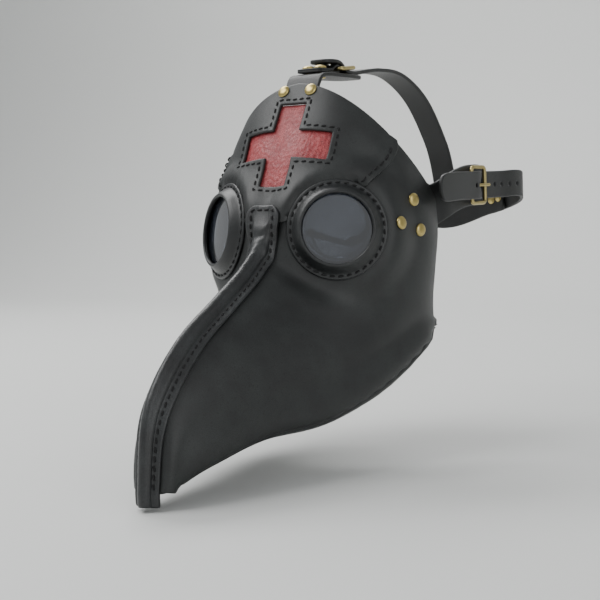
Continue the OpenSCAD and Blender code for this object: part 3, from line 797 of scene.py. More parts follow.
def pebbled(a, b, base):
    # grain of a drum-shrunk hide: cells round scattered points, longer up and down
    near = base * np.array([1.0, 0.8, 0.8])
    low, high = near.min(0) - 4, near.max(0) + 4
    step = inlay["pebble"]
    rng = np.random.default_rng(3)
    cells = [np.arange(low[k], high[k], step) for k in range(3)]
    seeds = np.stack(np.meshgrid(*cells, indexing="ij"), -1).reshape(-1, 3)
    seeds = seeds + rng.uniform(-0.5, 0.5, seeds.shape) * step * 0.9
    tree = KDTree(len(seeds))
    for i, seed in enumerate(seeds):
        tree.insert(seed, i)
    tree.balance()
    found = [tree.find_n(p, 2) for p in near]
    margin = np.array([f[1][2] - f[0][2] for f in found])
    return -inlay["relief"] * (1 - smooth(margin / (0.42 * step)))


s, h, w = cross["span"] / 2 + inlay["margin"], cross["height"] / 2 + 4, cross["arm"] / 2 + 5
inlayLine = [(s, 32.5), (-s, 32.5), (-s, -w), (-w, -w), (-w, -h), (w, -h), (w, -w), (s, -w)]
inlayLine = keepCorners(roundCorners(inlayLine, 3), 4, flatPlace)
inlayCut = patternOn(inlayForm, inlayLine, np.array(cross["at"]), crossRight, crossUp, crossGuess)
piece = leatherSheet("crossInlay", inlayForm, inlayCut, (), inlay["thick"], spacing=0.75, edge=0.3,
                     relief=pebbled)
finished(piece, inlayLeather, ["cross_inlay"])
print("inlay made", flush=True)

# Cheek panels, from under the forehead to the turned-out lower seam
tipRib = 9.97
cheekIn = 3               # distance of a cheek's front edge from the centre plane, under the ridge


def seamTop(u):
    s = seamRib(u)
    return s + 0.02 - (seamLap + 0.02) * smooth((goggleFar(u, s) - lapFrom) / lapFade)


front = [(float(shareAt(cheekIn, v)) * ribAcross, -v * ribStep) for v in np.linspace(3.35, tipRib, 24)]
low = [(ribAcross + flangeWidth(v), -v * ribStep) for v in np.linspace(tipRib, jawRib + 0.1, 40)]
rearEdge = [(ribAcross + 1.5, -(jawRib - 0.12) * ribStep), (ribAcross, -(jawRib - 0.3) * ribStep)]
rearEdge += [(ribAcross, -v * ribStep) for v in np.linspace(3.4, 0.06, 12)] + [(ribAcross - 2, 0)]
top = [(u * ribAcross, -max(float(seamTop(u)), 0) * ribStep) for u in np.linspace(0.97, 0.045, 60)]
outline = resample(front + low + rearEdge + top, 3, cheekForm)
outline = notched(outline, goggleCut(flatForm))
cheekLeft = leatherSheet("cheekPanelLeft", cheekForm, outline, (), mask["hide"], spacing=3.2)
cheekRight = mirrored(cheekLeft, "cheekPanelRight")
finished(cheekLeft, panelLeather, ["cheek_panel_left"])
finished(cheekRight, panelLeather, ["cheek_panel_right"])
print("cheeks made", flush=True)

# Chin gusset: one piece from jaw to jaw, running to the tip
side = [(chinHalf + flangeWidth(v), v * ribStep) for v in np.linspace(jawRib + 0.1, tipRib, 40)]
rim = [(x, jawRib * ribStep) for x in np.linspace(-chinHalf + 0.5, chinHalf - 0.5, 20)]
outline = resample(rim + side + [(-x, y) for x, y in side[::-1]], 3, gussetForm)
gussetIn = lifted(gussetForm, lambda x, y: 0.1 + 0 * x)
piece = leatherSheet("chinGusset", gussetIn, outline, (), mask["hide"], spacing=3.0)
finished(piece, panelLeather, ["chin_gusset"])
print("gusset made", flush=True)

# Beak ridge: a moulded strip with a stuffed, half-round middle
ridge = {"top": 3.0, "half": (13, 9, 8.7), "bead": (8.8, 4.8, 4.7), "stitch": (10.1, 5.9, 5.7),
         "rise": 5.5, "past": 8, "corner": 6, "crease": 0.28, "pitch": 5.6}


def ridgeSize(key, v):
    # a size at the tongue, below the goggles and at the tip
    tongue, neck, tip = ridge[key]
    return lerp(lerp(tongue, neck, smooth((v - 3.2) / 1.6)), tip, smooth((v - 5.2) / 4.3))


def ridgeHalf(v):
    body = ridgeSize("half", v)
    end = np.minimum((v - ridge["top"]) * ribStep, ridge["corner"])
    return body - ridge["corner"] + np.sqrt(np.maximum(ridge["corner"]**2 - (ridge["corner"] - end)**2, 0))


def ribBeside(x, v):
    # the rib that lies beside rib v of the centre line, x millimetres straight across
    lo, hi = np.maximum(v - 0.02, 0), np.minimum(v + 0.02, lastRib)
    run = formAt(0 * v, hi) - formAt(0 * v, lo)
    start, w = formAt(0 * v, v), v
    for _ in range(4):
        away = np.sum((formAt(shareAt(x, w), w) - start) * run, -1) / np.sum(run * run, -1)
        w = np.minimum(w - away * (hi - lo), lastRib)
    return w


def ridgeSpot(x, v):
    # a point of the form under the strip and the strip's outward direction there:
    # its middle stands square to the centre line
    w = ribBeside(x, v)
    u = shareAt(x, w)
    middle = outAt(flatForm, 0 * v, -v * ribStep)
    beside = outAt(flatForm, u * ribAcross, -w * ribStep)
    share = smooth((np.abs(x) / ridgeHalf(v) - 0.35) / 0.3)
    return formAt(u, w), unit(lerp(middle, beside, share[..., None]))


def ridgeUnder(a, b):
    # underside of the strip, a in millimetres from the centre line
    a, b = np.broadcast_arrays(np.asarray(a, float), np.asarray(b, float))
    v = -b / ribStep
    lift = mask["hide"] * (2 - smooth((v - seam[0][1] - 0.02) / 0.4)) + mask["gap"]
    base, out = ridgeSpot(a, v)
    return base + out * lift[..., None]


beadShare = 0.62            # share of the strip's points that lie on the bead


def ridgeTop(t, v):
    # t runs from -1 to 1 across the strip, round the bead: distance from the centre and height
    half, bead = ridgeHalf(v), ridgeSize("bead", v)
    bead = np.minimum(bead, half - 2)
    rise = ridge["rise"] * smooth((v - ridge["top"] - 0.05) / 1.1)
    size = np.abs(t)
    turn = np.clip(size / beadShare, 0, 1) * math.pi / 2
    beside = lerp(bead, half, np.clip((size - beadShare) / (1 - beadShare), 0, 1))
    x = np.where(size < beadShare, bead * np.sin(turn), beside)
    foot = 0.5 * smooth(rise / 3)
    h = np.where(size < beadShare, np.maximum(rise * np.cos(turn)**0.9, foot),
                 foot * np.exp(-(x - bead).clip(0) / 0.7))
    edge = np.clip(1 - (half - x) / 0.9, 0, 1)
    return np.copysign(x, t), mask["hide"] + h - 0.9 * (1 - np.sqrt(1 - edge**2 * 0.999))


rows = np.concatenate([ridge["top"] + np.array([0, 0.1, 0.4, 0.9, 1.6, 2.5, 3.5, 4.7, 6]) / ribStep,
                       np.linspace(ridge["top"] + 7.2 / ribStep, lastRib, 240)])
across = np.concatenate([np.linspace(-1, -0.94, 4), np.linspace(-0.92, -0.66, 7),
                         np.linspace(-beadShare, beadShare, 33), np.linspace(0.66, 0.92, 7),
                         np.linspace(0.94, 1, 4)])
points = []
for k, v in enumerate(list(rows) + [lastRib] * 6):
    drop = max(k - len(rows) + 1, 0) / 6 * ridge["past"]
    vv = np.full(across.shape, v)
    x, h = ridgeTop(across, vv)
    base, out = ridgeUnder(x, -vv * ribStep), ridgeSpot(x, vv)[1]
    # creases where the stiff strip is bent, and a slight hand-made swing of the bead
    bendHere = math.exp(-((v - 4.1) / 0.75)**2)
    fold = np.sin(v * 27 / 2.1 + 1.2 * np.sin(x * 0.5 + v * 3)) * np.cos(v * 5 + x * 0.25)
    h = h + ridge["crease"] * (0.25 + bendHere) * fold * smooth((h - mask["hide"]) / 3)
    end = (v - ridge["top"]) * ribStep
    h = h - 0.9 * (1 - math.sqrt(1 - 0.999 * max(1 - end / 0.9, 0)**2))
    upper = base + out * h[:, None]
    lower = base[::-1]
    ring = np.vstack([upper, lower]) - np.array([0, 0, drop])
    if k >= len(rows) + 4:
        middle = ring.mean(0)
        ring = middle + (ring - middle) * (0.985 if k == len(rows) + 4 else 0.93)
    points.append(ring)
n = len(points[0])
faces = [(i * n + j, i * n + (j + 1) % n, (i + 1) * n + (j + 1) % n, (i + 1) * n + j)
         for i in range(len(points) - 1) for j in range(n)]
faces += [tuple(range(n))[::-1], tuple((len(points) - 1) * n + j for j in range(n))]
piece = newPiece("beakRidge", np.vstack(points), faces, weld=True)
finished(piece, ridgeLeather, ["beak_ridge"])
print("ridge made", flush=True)

# Goggles: moulded leather rings sewn over the panels, holding the lenses
goggle = {"stitchRadius": 31.6, "stitchTop": 2.1, "pitch": 5.7}
ringProfile = [[34, 0], [34, 1.1], [33.8, 1.8], [33.2, 2.15], [32.3, 2.3]]
ringProfile += smoothLine([[32.3, 2.3], [31.2, 2.45], [30.1, 3.2], [28.8, 4.9], [27.5, 6.7],
                           [26.5, 7.9]], 5)[1:].tolist()
ringProfile += [[26.0, 8.5], [25.5, 8.9], [25.0, 9.05], [24.4, 9.0], [23.95, 8.75], [23.75, 8.3],
                [23.7, 6.8], [24.6, 6.2], [26.6, 4.4], [27.4, 2], [27.8, 0]]
lensProfile = [[0, 2.2], [25.6, 2.2], [25.6, 4.3]]
lensProfile += [[r, 5.5 - 1.1 * (r / 25.6)**2] for r in (25.4, 24, 22, 19, 16, 13, 10, 7, 4, 2)] + [[0, 5.5]]
retainerProfile = [[23.8, -4.2], [29.2, -4.2], [29.6, -3.9], [29.6, -2.95], [27.45, -2.95], [27.45, 0],
                   [25.8, 2.1], [23.8, 2.1]]
goggleSeat = goggleAt + goggleAxis * (mask["hide"] + mask["gap"])


def gogglePlane(a, b):
    a, b = np.broadcast_arrays(np.asarray(a, float), np.asarray(b, float))
    return goggleSeat + a[..., None] * goggleRight + b[..., None] * goggleUp


def goggleParts(name, profile, material, node, steps=144):
    points, faces = turnedShape(profile, steps)
    left = joined(name + "Left", [(aimed(points, goggleSeat, goggleAxis), faces)])
    right = mirrored(left, name + "Right")
    finished(left, material, [node + "_left"])
    finished(right, material, [node + "_right"])


goggleParts("goggleRing", ringProfile, goggleLeather, "goggle_ring")
goggleParts("lens", lensProfile, lensMaterial, "lens")
goggleParts("lensRetainer", retainerProfile, goggleLeather, "lens_retainer", 96)
print("goggles made", flush=True)

# Buckles, chapes, tabs and straps. A buckle's own frame has its heel bar on Y,
# its front bar on +X and its outer side on +Z.
buckle = {"templeAt": (83.2, 36, 25.5), "topAt": (0, -24, 112.2), "length": 18, "wire": 1.5, "half": 13,
          "lift": 1.6, "corner": 3.2, "prong": 1.15, "foldThick": 1.6, "chapeLength": 24}
templeAxes = np.array([[0, 1, 0], [0, 0, 1], [1, 0, 0]], float)
topAxes = np.array([[0, 1, 0], [-1, 0, 0], [0, 0, 1]], float)
templeAt, topAt = np.array(buckle["templeAt"], float), np.array(buckle["topAt"], float)
throughBuckle = [(26, -3), (18, -3), (12.5, -2.5), (8, 0.4), (4, 3.1), (-1, 3.9), (-12, 4)]
rearRun = [[74, 131, 20], [60, 140, 15.5], [44, 146, 12], [22, 150, 9], [0, 151, 8]]
sideRun = [[88.4, -25, 24.5], [88.2, 0, 25.5]]
sideRun += [list(templeAt + np.array([z, x, 0])) for x, z in throughBuckle[::-1]]
sideRun += [[81.6, 84, 25.5], [84.5, 104, 26], [83, 118, 24.5]] + rearRun
topRun = [list(topAt + np.array([0, x, z])) for x, z in throughBuckle[::-1]]
topRun += [[0, 36, 113], [0, 72, 110], [0, 108, 92], [0, 137, 60], [0, 148.5, 36], [0, 151.4, 20],
           [0, 151.4, 8], [0, 151.4, -4]]


def strapAlong(run, first, last, outwards, off):
    # place(a, b): a along the strap from its tip, b across it
    run = np.asarray(run, float)
    line = through(run, np.linspace(first, last, 900), 0, len(run) - 1)
    ends = [line[0] * 6 - line[1] * 5, line[-1] * 6 - line[-2] * 5]
    line = np.vstack([ends[:1], line, ends[1:]])
    run = np.concatenate([[0], np.cumsum(np.linalg.norm(np.diff(line, axis=0), axis=1))])
    run = run - run[1]
    along = unit(np.gradient(line, axis=0))
    sideways = unit(np.cross(outwards(line), along))
    out = unit(np.cross(along, sideways))

    def place(a, b):
        a, b = np.broadcast_arrays(np.asarray(a, float), np.asarray(b, float))

        def get(rows):
            return np.stack([np.interp(a, run, rows[:, i]) for i in range(3)], -1)

        return get(line) + get(sideways) * b[..., None] + get(out) * off

    return place, run[-2]


def rearOut(p):
    return unit(np.stack([p[:, 0] / 90 + 0.01, np.maximum(p[:, 1] - 60, 0) / 80, 0 * p[:, 0]], 1))


def sideOut(p):
    f = np.clip((p[:, 1:2] - 100) / 30, 0, 1)
    return unit(lerp(np.array([[1.0, 0, 0]]), rearOut(p), f))


def topOut(p):
    return unit(np.stack([0 * p[:, 0], p[:, 1] - 40, np.maximum(p[:, 2] + 10, 0)], 1))


strap = {"width": 20, "hole": 1.6, "holePitch": 10.5, "tip": 9}


def holesAlong(place, at, axes, numbers):
    # a slot for the prong and round holes, in the buckle's frame
    r = strap["hole"]
    t = np.linspace(-math.pi / 2, math.pi / 2, 8)
    slot = [(9.9 + r * math.cos(s), r * math.sin(s)) for s in t]
    slot += [(2.1 - r * math.cos(s), -r * math.sin(s)) for s in t]
    patterns = [(6, np.array(slot) - np.array([6, 0]))]
    patterns += [(6 + k * strap["holePitch"], circle(r, 16)) for k in numbers]
    out = []
    for x, shape in patterns:
        centre = at + axes[0] * x
        start = nearestOn(place, centre + axes[2] * 3, (0, 140), (-1, 1))
        out.append(patternOn(place, shape, centre, axes[0], axes[1], start))
    return out


def strapOutline(length, half, tip, place):
    # a strap cut to a rounded point at a = 0 and square at its sewn end
    line = [(0, -half * 0.45), (tip * 0.35, -half * 0.85), (tip, -half), (length, -half), (length, half),
            (tip, half), (tip * 0.35, half * 0.85), (0, half * 0.45)]
    return resample(roundCorners(line, 2.5), 2.4, place)


half = strap["width"] / 2
sidePlace, length = strapAlong(sideRun, 0, len(sideRun) - 3, sideOut, mask["gap"])
holes = holesAlong(sidePlace, templeAt, templeAxes, [-1, 1, 2, 3, 4, 5, 6])
piece = leatherSheet("sideStrapLeft", sidePlace, strapOutline(length, half, strap["tip"], sidePlace), holes,
                     mask["strap"], spacing=2.4, edge=0.7)
twin = mirrored(piece, "sideStrapRight")
finished(piece, strapLeather, ["side_strap_left"])
finished(twin, strapLeather, ["side_strap_right"])
topPlace, length = strapAlong(topRun, 0, len(topRun) - 1, topOut, mask["gap"])
holes = holesAlong(topPlace, topAt, topAxes, [1, 2, 3, 4])
piece = leatherSheet("topStrap", topPlace, strapOutline(length, half, strap["tip"], topPlace), holes,
                     mask["strap"], spacing=2.4, edge=0.7)
finished(piece, strapLeather, ["top_strap"])
yokeRun = rearRun[1:] + [[-x, y, z] for x, y, z in rearRun[-2:0:-1]]
yokeRun = [rearRun[0]] + yokeRun + [[-rearRun[0][0], rearRun[0][1], rearRun[0][2]]]

yoke = {"middle": 18, "end": 11, "deep": 0.25}


def yokeOut(p):
    return unit(np.stack([p[:, 0] / 90, (p[:, 1] - 60) / 80, 0 * p[:, 0]], 1))


def yokeHalf(share):
    # the yoke is widest in the middle, where the top strap comes down
    return lerp(yoke["middle"], yoke["end"], float(smooth(abs(share - 0.5) * 8 / 3)))


yokePlace, length = strapAlong(yokeRun, 1, len(yokeRun) - 2, yokeOut, -mask["strap"] - yoke["deep"])
line = [(a, yokeHalf(a / length)) for a in np.linspace(0, length, 25)]
outline = resample(roundCorners(line + [(a, -b) for a, b in line[::-1]], 5), 3, yokePlace)
piece = leatherSheet("rearYoke", yokePlace, outline, (), mask["strap"], spacing=3, edge=0.7)
finished(piece, strapLeather, ["rear_yoke"])
print("straps made", flush=True)


def gridSheet(points, stepA, stepB):
    # place(a, b) over a grid of points, rows along a
    rows, columns = points.shape[:2]

    def place(a, b):
        a, b = np.broadcast_arrays(np.asarray(a, float), np.asarray(b, float))
        i, j = a / stepA, b / stepB + (columns - 1) / 2
        across = [through(points[:, k], i, 0, rows - 1) for k in range(columns)]
        low = np.clip(np.floor(j).astype(int), 0, columns - 2)
        f = (j - low)[..., None]
        stack = np.stack(across)
        pick = tuple(np.indices(low.shape))

        def at(k):
            inner = stack[(np.clip(k, 0, columns - 1),) + pick]
            before = 2 * stack[0] - stack[1]
            after = 2 * stack[-1] - stack[-2]
            inner = np.where((k > columns - 1)[..., None], after, inner)
            return np.where((k < 0)[..., None], before, inner)

        p, q, r, s = at(low - 1), at(low), at(low + 1), at(low + 2)
        return 0.5 * (2 * q + (r - p) * f + (2 * p - 5 * q + 4 * r - s) * f**2
                      + (3 * q - p - 3 * r + s) * f**3)

    return place


# Tabs: leather riveted under the panels' edges that runs on beneath the buckles
tab = {"rows": 20, "under": 9, "deep": 0.6, "halfTemple": 15, "halfTop": 14, "stepTemple": 6.4,
       "stepTop": 4.2}
templeRun = np.array([[75, -9, 12], [79, 5, 18], [79.9, 20, 22.5], [79.9, 40, 25.5],
                      [79.9, 66, 25.5]], float)
foreheadRun = np.array([[0, -57, 100], [0, -51, 107.2], [0, -40, 108.9], [0, -22, 108.9],
                        [0, 10, 108.9]], float)


def tabGrid(run, under, up, half):
    grid = []
    for i in range(tab["rows"] + 1):
        row = []
        for j in range(-4, 5):
            w = j / 4
            if i <= tab["under"]:
                u, v = under(w, i / tab["under"])
                a, b = u * ribAcross, -v * ribStep
                row.append(flatForm(a, b) - (tab["deep"] + mask["strap"]) * outAt(flatForm, a, b))
            else:
                f = (i - tab["under"]) / (tab["rows"] - tab["under"]) * (len(run) - 1)
                p, q, r = (through(run, np.float64(x), 0, len(run) - 1) for x in (f - 0.1, f, f + 0.1))
                out = unit(np.cross(r - p, up))
                row.append(q + up * w * half - out * (mask["gap"] + mask["strap"]))
        grid.append(row)
    return np.array(grid)


def underTemple(w, f):
    # where the tab lies under the cheek: share of the rib and rib
    return lerp(0.62, 0.995, f), lerp(1.6, 0.25, f) - w * lerp(0.85, 0.62, f)


def underForehead(w, f):
    v = lerp(0.34, 0.02, f)
    return float(shareAt(-w * tab["halfTop"], v)), v


templeGrid = tabGrid(templeRun, underTemple, np.array([0, 0, 1.0]), tab["halfTemple"])
foreheadGrid = tabGrid(foreheadRun, underForehead, np.array([-1.0, 0, 0]), tab["halfTop"])
for name, grid, stepA, half, node in (
        ("templeTab", templeGrid, tab["stepTemple"], tab["halfTemple"], "temple_tab_left"),
        ("foreheadTab", foreheadGrid, tab["stepTop"], tab["halfTop"], "forehead_tab")):
    place = gridSheet(grid, stepA, half / 4)
    end = tab["rows"] * stepA
    line = roundCorners([(0.4, -half), (end, -half), (end, half), (0.4, half)], 9)
    piece = leatherSheet(name, place, resample(line, 2.6, place), (), mask["strap"], spacing=3, edge=0.7)
    finished(piece, strapLeather, [node])
    if node == "temple_tab_left":
        finished(mirrored(piece, "templeTabRight"), strapLeather, ["temple_tab_right"])
        piece.name = "templeTabLeft"
print("tabs made", flush=True)


def inBuckle(points, at, axes):
    return np.asarray(at) + np.asarray(points, float) @ axes


def tube(path, radii, sides=20, closed=False):
    path, radii = np.asarray(path, float), np.broadcast_to(radii, len(path))
    n = len(path)
    along = unit(np.roll(path, -1, 0) - np.roll(path, 1, 0)) if closed else unit(np.gradient(path, axis=0))
    normal = np.array([0.0, 0, 1])
    points = []
    for p, d, r in zip(path, along, radii):
        side = unit(np.cross(normal, d)) if abs(d[2]) < 0.98 else unit(np.cross([1.0, 0, 0], d))
        up = np.cross(d, side)
        points += [p + r * (math.cos(t) * side + math.sin(t) * up)
                   for t in np.arange(sides) * 2 * math.pi / sides]
    last = n if closed else n - 1
    faces = [(i * sides + j, i * sides + (j + 1) % sides, (i + 1) % n * sides + (j + 1) % sides,
              (i + 1) % n * sides + j) for i in range(last) for j in range(sides)]
    if not closed:
        faces += [tuple(range(sides))[::-1], tuple((n - 1) * sides + j for j in range(sides))]
    return np.array(points), faces


def tilted(points, angle):
    # turned about the heel bar, lifting +X
    c, s = math.cos(angle), math.sin(angle)
    x, y, z = np.asarray(points, float).T
    return np.stack([c * x - s * z, y, s * x + c * z], 1)


def frameShape():
    # a loop of drawn wire
    l, h = buckle["length"], buckle["half"]
    corners = [(0, -h), (l, -h), (l, h), (0, h)]
    line = resample(roundCorners(corners, buckle["corner"]), 0.7, flatPlace)
    path = np.stack([line[:, 0], line[:, 1], 0 * line[:, 0]], 1)
    points, faces = tube(path, buckle["wire"], 20, True)
    return tilted(points, math.atan(buckle["lift"] / l)), faces


def prongShape():
    # an eye round the heel bar and a tongue that tapers to a rounded point on the front bar
    reach, r = buckle["length"] + 2.2, buckle["prong"]
    x = np.concatenate([np.linspace(1.5, reach - 1, 22), reach - 1 + np.sin(np.linspace(0.2, 1.5, 6))])
    radii = np.concatenate([lerp(1.3, r, smooth(np.linspace(0, 1, 22) * 2)),
                            r * np.cos(np.linspace(0.2, 1.5, 6))])
    z = 0.5 * np.sin(np.clip(x / reach, 0, 1) * math.pi)
    tongue = tube(np.stack([x, 0 * x, z], 1), radii, 16)
    eyeProfile = [[1.56, -1.3], [2.3, -1.3], [2.75, -0.9], [2.9, 0], [2.75, 0.9], [2.3, 1.3], [1.56, 1.3]]
    points, faces = turnedShape(eyeProfile, 40)
    eye = np.stack([points[:, 0], points[:, 2], points[:, 1]], 1), [f[::-1] for f in faces]
    angle = math.asin((buckle["lift"] + buckle["wire"] + 1.4) / buckle["length"])
    return [(tilted(p, angle), f) for p, f in (tongue, eye)]


def chapeSheet():
    # leather folded round the heel bar, its end tapered on to the lower layer
    r, l = 1.62, buckle["chapeLength"]
    turn = [(r * math.sin(t), -r * math.cos(t)) for t in np.linspace(0, math.pi, 17)]
    path = [(-l, -r)] + [(x, -r) for x in np.linspace(-l + 1, -1, 12)] + turn
    path += [(-2, 1.35), (-4, 0.3), (-6, -0.9), (-8, -1.5), (-10, -r + 0.03)]
    path += [(x, -r + 0.03) for x in np.linspace(-12, -l, 8)]
    points = np.array([(x, 0, z) for x, z in path])
    return strapAlong(points, 0, len(points) - 1, chapeOut, 0)


def chapeOut(p):
    lower = (p[:, 2] < -1.2) & (np.arange(len(p)) < len(p) / 2)
    upper = p[:, 0] < -1
    round_ = unit(np.stack([p[:, 0], 0 * p[:, 0], p[:, 2]], 1))
    out = np.where(upper[:, None], np.array([[0.0, 0, 1]]), round_)
    return np.where(lower[:, None], np.array([[0.0, 0, -1]]), out)


place, length = chapeSheet()
middle = 23 + 1.62 * math.pi / 2 + 1
line = roundCorners([(0, -10), (length, -10), (length, 10), (0, 10)], 2)
slotLong, slotWide = 6.5, 1.8   # half length and half width of the prong's slot
slot = [(middle - slotLong, -slotWide), (middle + slotLong, -slotWide),
        (middle + slotLong, slotWide), (middle - slotLong, slotWide)]
slot = roundCorners(slot, 1.2)
chapeFlat = leatherSheet("chape", place, resample(line, 1.6, place), [resample(slot, 0.9, place)],
                         buckle["foldThick"], spacing=1.5, edge=0.45)
chapeCo = np.array([v.co for v in chapeFlat.data.vertices]) / mm
chapeFaces = [tuple(p.vertices) for p in chapeFlat.data.polygons]
bpy.data.objects.remove(chapeFlat)
rivetDome = [[0, 2.35]] + [[4.5 * math.sin(t), 0.45 + 1.9 * math.cos(t)] for t in np.linspace(0.16, 1.5, 12)]
rivetDome += [[4.52, 0.35], [4.45, 0.12], [4.2, 0.0], [1.6, 0.0]]


def rivetShape(grip):
    backSide = [[1.6, -grip - 0.1], [3.6, -grip - 0.1], [3.7, -grip - 0.3], [3.5, -grip - 0.7],
                [2.6, -grip - 1.1], [0, -grip - 1.2]]
    return turnedShape(rivetDome + backSide, 40)


def rivets(name, places, grip, nodes, twinNodes=()):
    points, faces = rivetShape(grip)
    parts = [(aimed(points, at, out), faces) for at, out in places]
    piece = joined(name, parts)
    finished(piece, rivetBrass, nodes)
    if twinNodes:
        finished(mirrored(piece, name.replace("Left", "Right")), rivetBrass, twinNodes)


def onForm(u, v):
    a, b = u * ribAcross, -v * ribStep
    out = outAt(flatForm, a, b)
    return flatForm(a, b) + out * (mask["hide"] + 0.05), out


def rearRivet(f):
    run = np.array(rearRun, float)
    p, q, r = (through(run, np.float64(x), 0, 4) for x in (f - 0.1, f, f + 0.1))
    out = unit(np.cross(np.cross(r - p, rearOut(q[None])[0]), r - p))
    return q + out * (mask["strap"] + 0.1), out


tabGrip = mask["hide"] + tab["deep"] + mask["strap"] + 0.3
rearGrip = 2 * mask["strap"] + 0.6
rivets("templeRivetsLeft", [onForm(0.74, 1.1), onForm(0.69, 2), onForm(0.81, 1.6)], tabGrip,
       ["temple_rivets_left"], ["temple_rivets_right"])
rivets("foreheadRivets", [onForm(0.085, 0.17), onForm(-0.085, 0.17)], tabGrip, ["forehead_rivets"])
rivets("sideStrapRivetsLeft", [rearRivet(1.25), rearRivet(1.75)], rearGrip,
       ["side_strap_rivets_left"], ["side_strap_rivets_right"])
rivets("topStrapRivets", [(np.array([0, 151.6 + mask["strap"], z]), (0, 1, 0)) for z in (2, 13)],
       rearGrip + 0.4, ["top_strap_rivets"])
for name, node, at, axes in (("Left", "left", templeAt, templeAxes), ("Top", "top", topAt, topAxes)):
    framePoints, frameFaces = frameShape()
    made = [(newPiece("chape" + name, inBuckle(chapeCo, at, axes), chapeFaces), "chape"),
            (joined("buckleFrame" + name, [(inBuckle(framePoints, at, axes), frameFaces)]), "frame"),
            (joined("buckleProng" + name, [(inBuckle(p, at, axes), f) for p, f in prongShape()]), "prong")]
    for piece, kind in made:
        twins = [(piece, node)]
        if node == "left":
            twins.append((mirrored(piece, piece.name.replace("Left", "Right")), "right"))
        for twin, label in twins:
            if kind == "chape":
                finished(twin, strapLeather, ["chape_" + label])
            elif kind == "frame":
                finished(twin, buckleBrass, ["buckle_frame_" + label], "buckle_" + label)
            else:
                finished(twin, buckleBrass, ["buckle_prong_" + label], "prong_" + label)
    spots = [(at + axes[0] * -16 + axes[1] * s * 5 + axes[2] * 0.1, axes[2]) for s in (-1, 1)]
    rivets("chapeRivets" + name, spots, 6.4, ["chape_rivets_" + node],
           ["chape_rivets_right"] if node == "left" else ())
print("fittings made", flush=True)

# Stitching
hideTop = mask["hide"]
away = cross["stitchAway"]
line = [(math.copysign(abs(x) + away, x), math.copysign(abs(y) + away, y)) for x, y in crossCorners]
crossSeam = patternOn(foreheadForm, keepCorners(line, 3, flatPlace), np.array(cross["at"]), crossRight,
                      crossUp, crossGuess)
piece = stitches("crossStitching", [crossSeam], foreheadForm, hideTop, True, cross["pitch"])
finished(piece, threadMaterial)
line = np.array([seamPoint(u) for u in np.linspace(0.02, seamEnd - 0.01, 60)])
line = shiftLoop(line, 4.2, foreheadForm, False)
far = np.array([float(goggleFar(a / ribAcross, -b / ribStep)) for a, b in line])
under = np.array([float(ridgeHalf(np.float64(max(-b / ribStep, 3.01)))) for a, b in line])
x = foreheadForm(line[:, 0], line[:, 1])[:, 0]
clear = far > mask["flangeRadius"] + 1.5
bridge = clear & (x > under + 1) & (x < 40) & (line[:, 1] < -60)
upperSeam = clear & ~bridge & (x > 40)
lines = [g for g in (line[bridge], line[upperSeam]) if len(g) > 3]
lines += [g * np.array([-1, 1]) for g in lines]
piece = stitches("foreheadStitching", lines, foreheadForm, hideTop)
finished(piece, threadMaterial)
away = ridge["half"][0] - ridge["stitch"][0]
v = np.linspace(ridge["top"] + away / ribStep, lastRib - 0.05, 160)
line = [(float(ridgeSize("stitch", t)), -t * ribStep) for t in v[::-1]]
line = line[:-3] + roundCorners([line[-3], line[-1], (0.01, line[-1][1])], 3.5, False)[1:]
line = line + [(-a, b) for a, b in line[::-1]]
piece = stitches("ridgeStitching", [line], ridgeUnder, hideTop, False, ridge["pitch"])
finished(piece, threadMaterial)
leftRing = stitches("goggleStitchingLeft", [circle(goggle["stitchRadius"], 120)], gogglePlane,
                    goggle["stitchTop"] + 0.25, True, goggle["pitch"])
finished(mirrored(leftRing, "goggleStitchingRight"), threadMaterial)
finished(leftRing, threadMaterial)
low = np.array([(ribAcross + flange["stitch"], -v * ribStep)
                for v in np.linspace(jawRib + 0.15, tipRib - 0.05, 90)])
leftSeam = stitches("lowerStitchingLeft", [low], cheekForm, hideTop, False, 5.8)
finished(mirrored(leftSeam, "lowerStitchingRight"), threadMaterial)
finished(leftSeam, threadMaterial)
print("stitching made", flush=True)

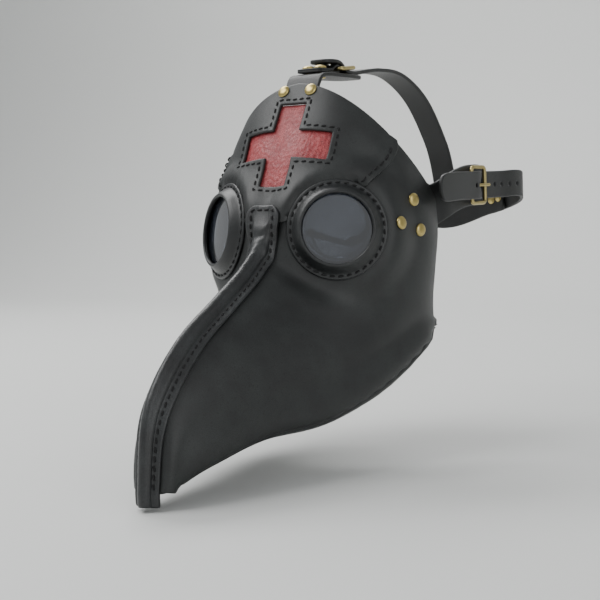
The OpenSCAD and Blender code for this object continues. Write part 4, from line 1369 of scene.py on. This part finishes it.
# Camera and studio
camera = {"azimuth": 34.1, "elevation": 4.9, "distance": 999.5, "lens": 80.5, "roll": -2.2,
          "aim": (-38.9, -54.8)}
az, el, roll = (math.radians(camera[k]) for k in ("azimuth", "elevation", "roll"))
back = Vector((math.sin(az) * math.cos(el), -math.cos(az) * math.cos(el), math.sin(el)))
right = Vector((math.cos(az), math.sin(az), 0))
up = back.cross(right)
target = right * camera["aim"][0] + Vector((0, 0, camera["aim"][1]))
turnedRight = right * math.cos(roll) + up * math.sin(roll)
turnedUp = up * math.cos(roll) - right * math.sin(roll)
lensData = bpy.data.cameras.new("camera")
lensData.lens = camera["lens"]
lensData.sensor_width = 36
lensData.clip_end = 20
eye = bpy.data.objects.new("camera", lensData)
eye.matrix_world = Matrix.Translation((target + back * camera["distance"]) * mm) @ Matrix(
    (turnedRight, turnedUp, back)).transposed().to_4x4()
bpy.context.collection.objects.link(eye)
bpy.context.scene.camera = eye

studio = {"floor": "#d9dad8", "floorHeight": -162, "world": 0.5}
material, tree, shader, at = newMaterial("pale paper")
grain = addNode(tree, "TexNoise", Vector=at, Scale=900.0, Detail=3.0)
bump = addNode(tree, "Bump", Height=grain.outputs[0], Distance=0.02 * mm)
tree.links.new(bump.outputs[0], shader.inputs["Normal"])
shader.inputs["Base Color"].default_value = linear(studio["floor"])
shader.inputs["Roughness"].default_value = 0.7
width, front, rear, bend, high = 3000, -2600, 900, 500, 2600
sweep = [(front, 0), (rear, 0)]
sweep += [(rear + bend * math.sin(t), bend - bend * math.cos(t)) for t in np.linspace(0.15, math.pi / 2, 10)]
sweep += [(rear + bend, high)]
points = [(x, y, z + studio["floorHeight"]) for y, z in sweep for x in (-width, width)]
faces = [(2 * i, 2 * i + 1, 2 * i + 3, 2 * i + 2) for i in range(len(sweep) - 1)]
floor = newPiece("floor", points, faces)
floor.data.materials.append(material)


def softLight(name, at, aim, size, power, tint="#ffffff"):
    data = bpy.data.lights.new(name, "AREA")
    data.shape = "RECTANGLE"
    data.size, data.size_y = size
    data.energy = power
    data.color = linear(tint)[:3]
    lamp = bpy.data.objects.new(name, data)
    lamp.location = at
    lamp.rotation_euler = (Vector(aim) - Vector(at)).to_track_quat("-Z", "Y").to_euler()
    bpy.context.collection.objects.link(lamp)


softLight("key", (-0.9, -1.0, 1.5), (0, -0.08, 0), (1.4, 1.0), 26)
softLight("fill", (1.6, -0.9, 0.6), (0, -0.05, -0.02), (1.2, 1.4), 9)
softLight("rim", (-1.0, 0.5, 1.4), (0, -0.12, 0), (1.4, 0.6), 24)
world = bpy.data.worlds.new("pale studio")
bpy.context.scene.world = world
world.use_nodes = True
background = world.node_tree.nodes["Background"]
background.inputs["Color"].default_value = linear("#eef1f3")
background.inputs["Strength"].default_value = studio["world"]
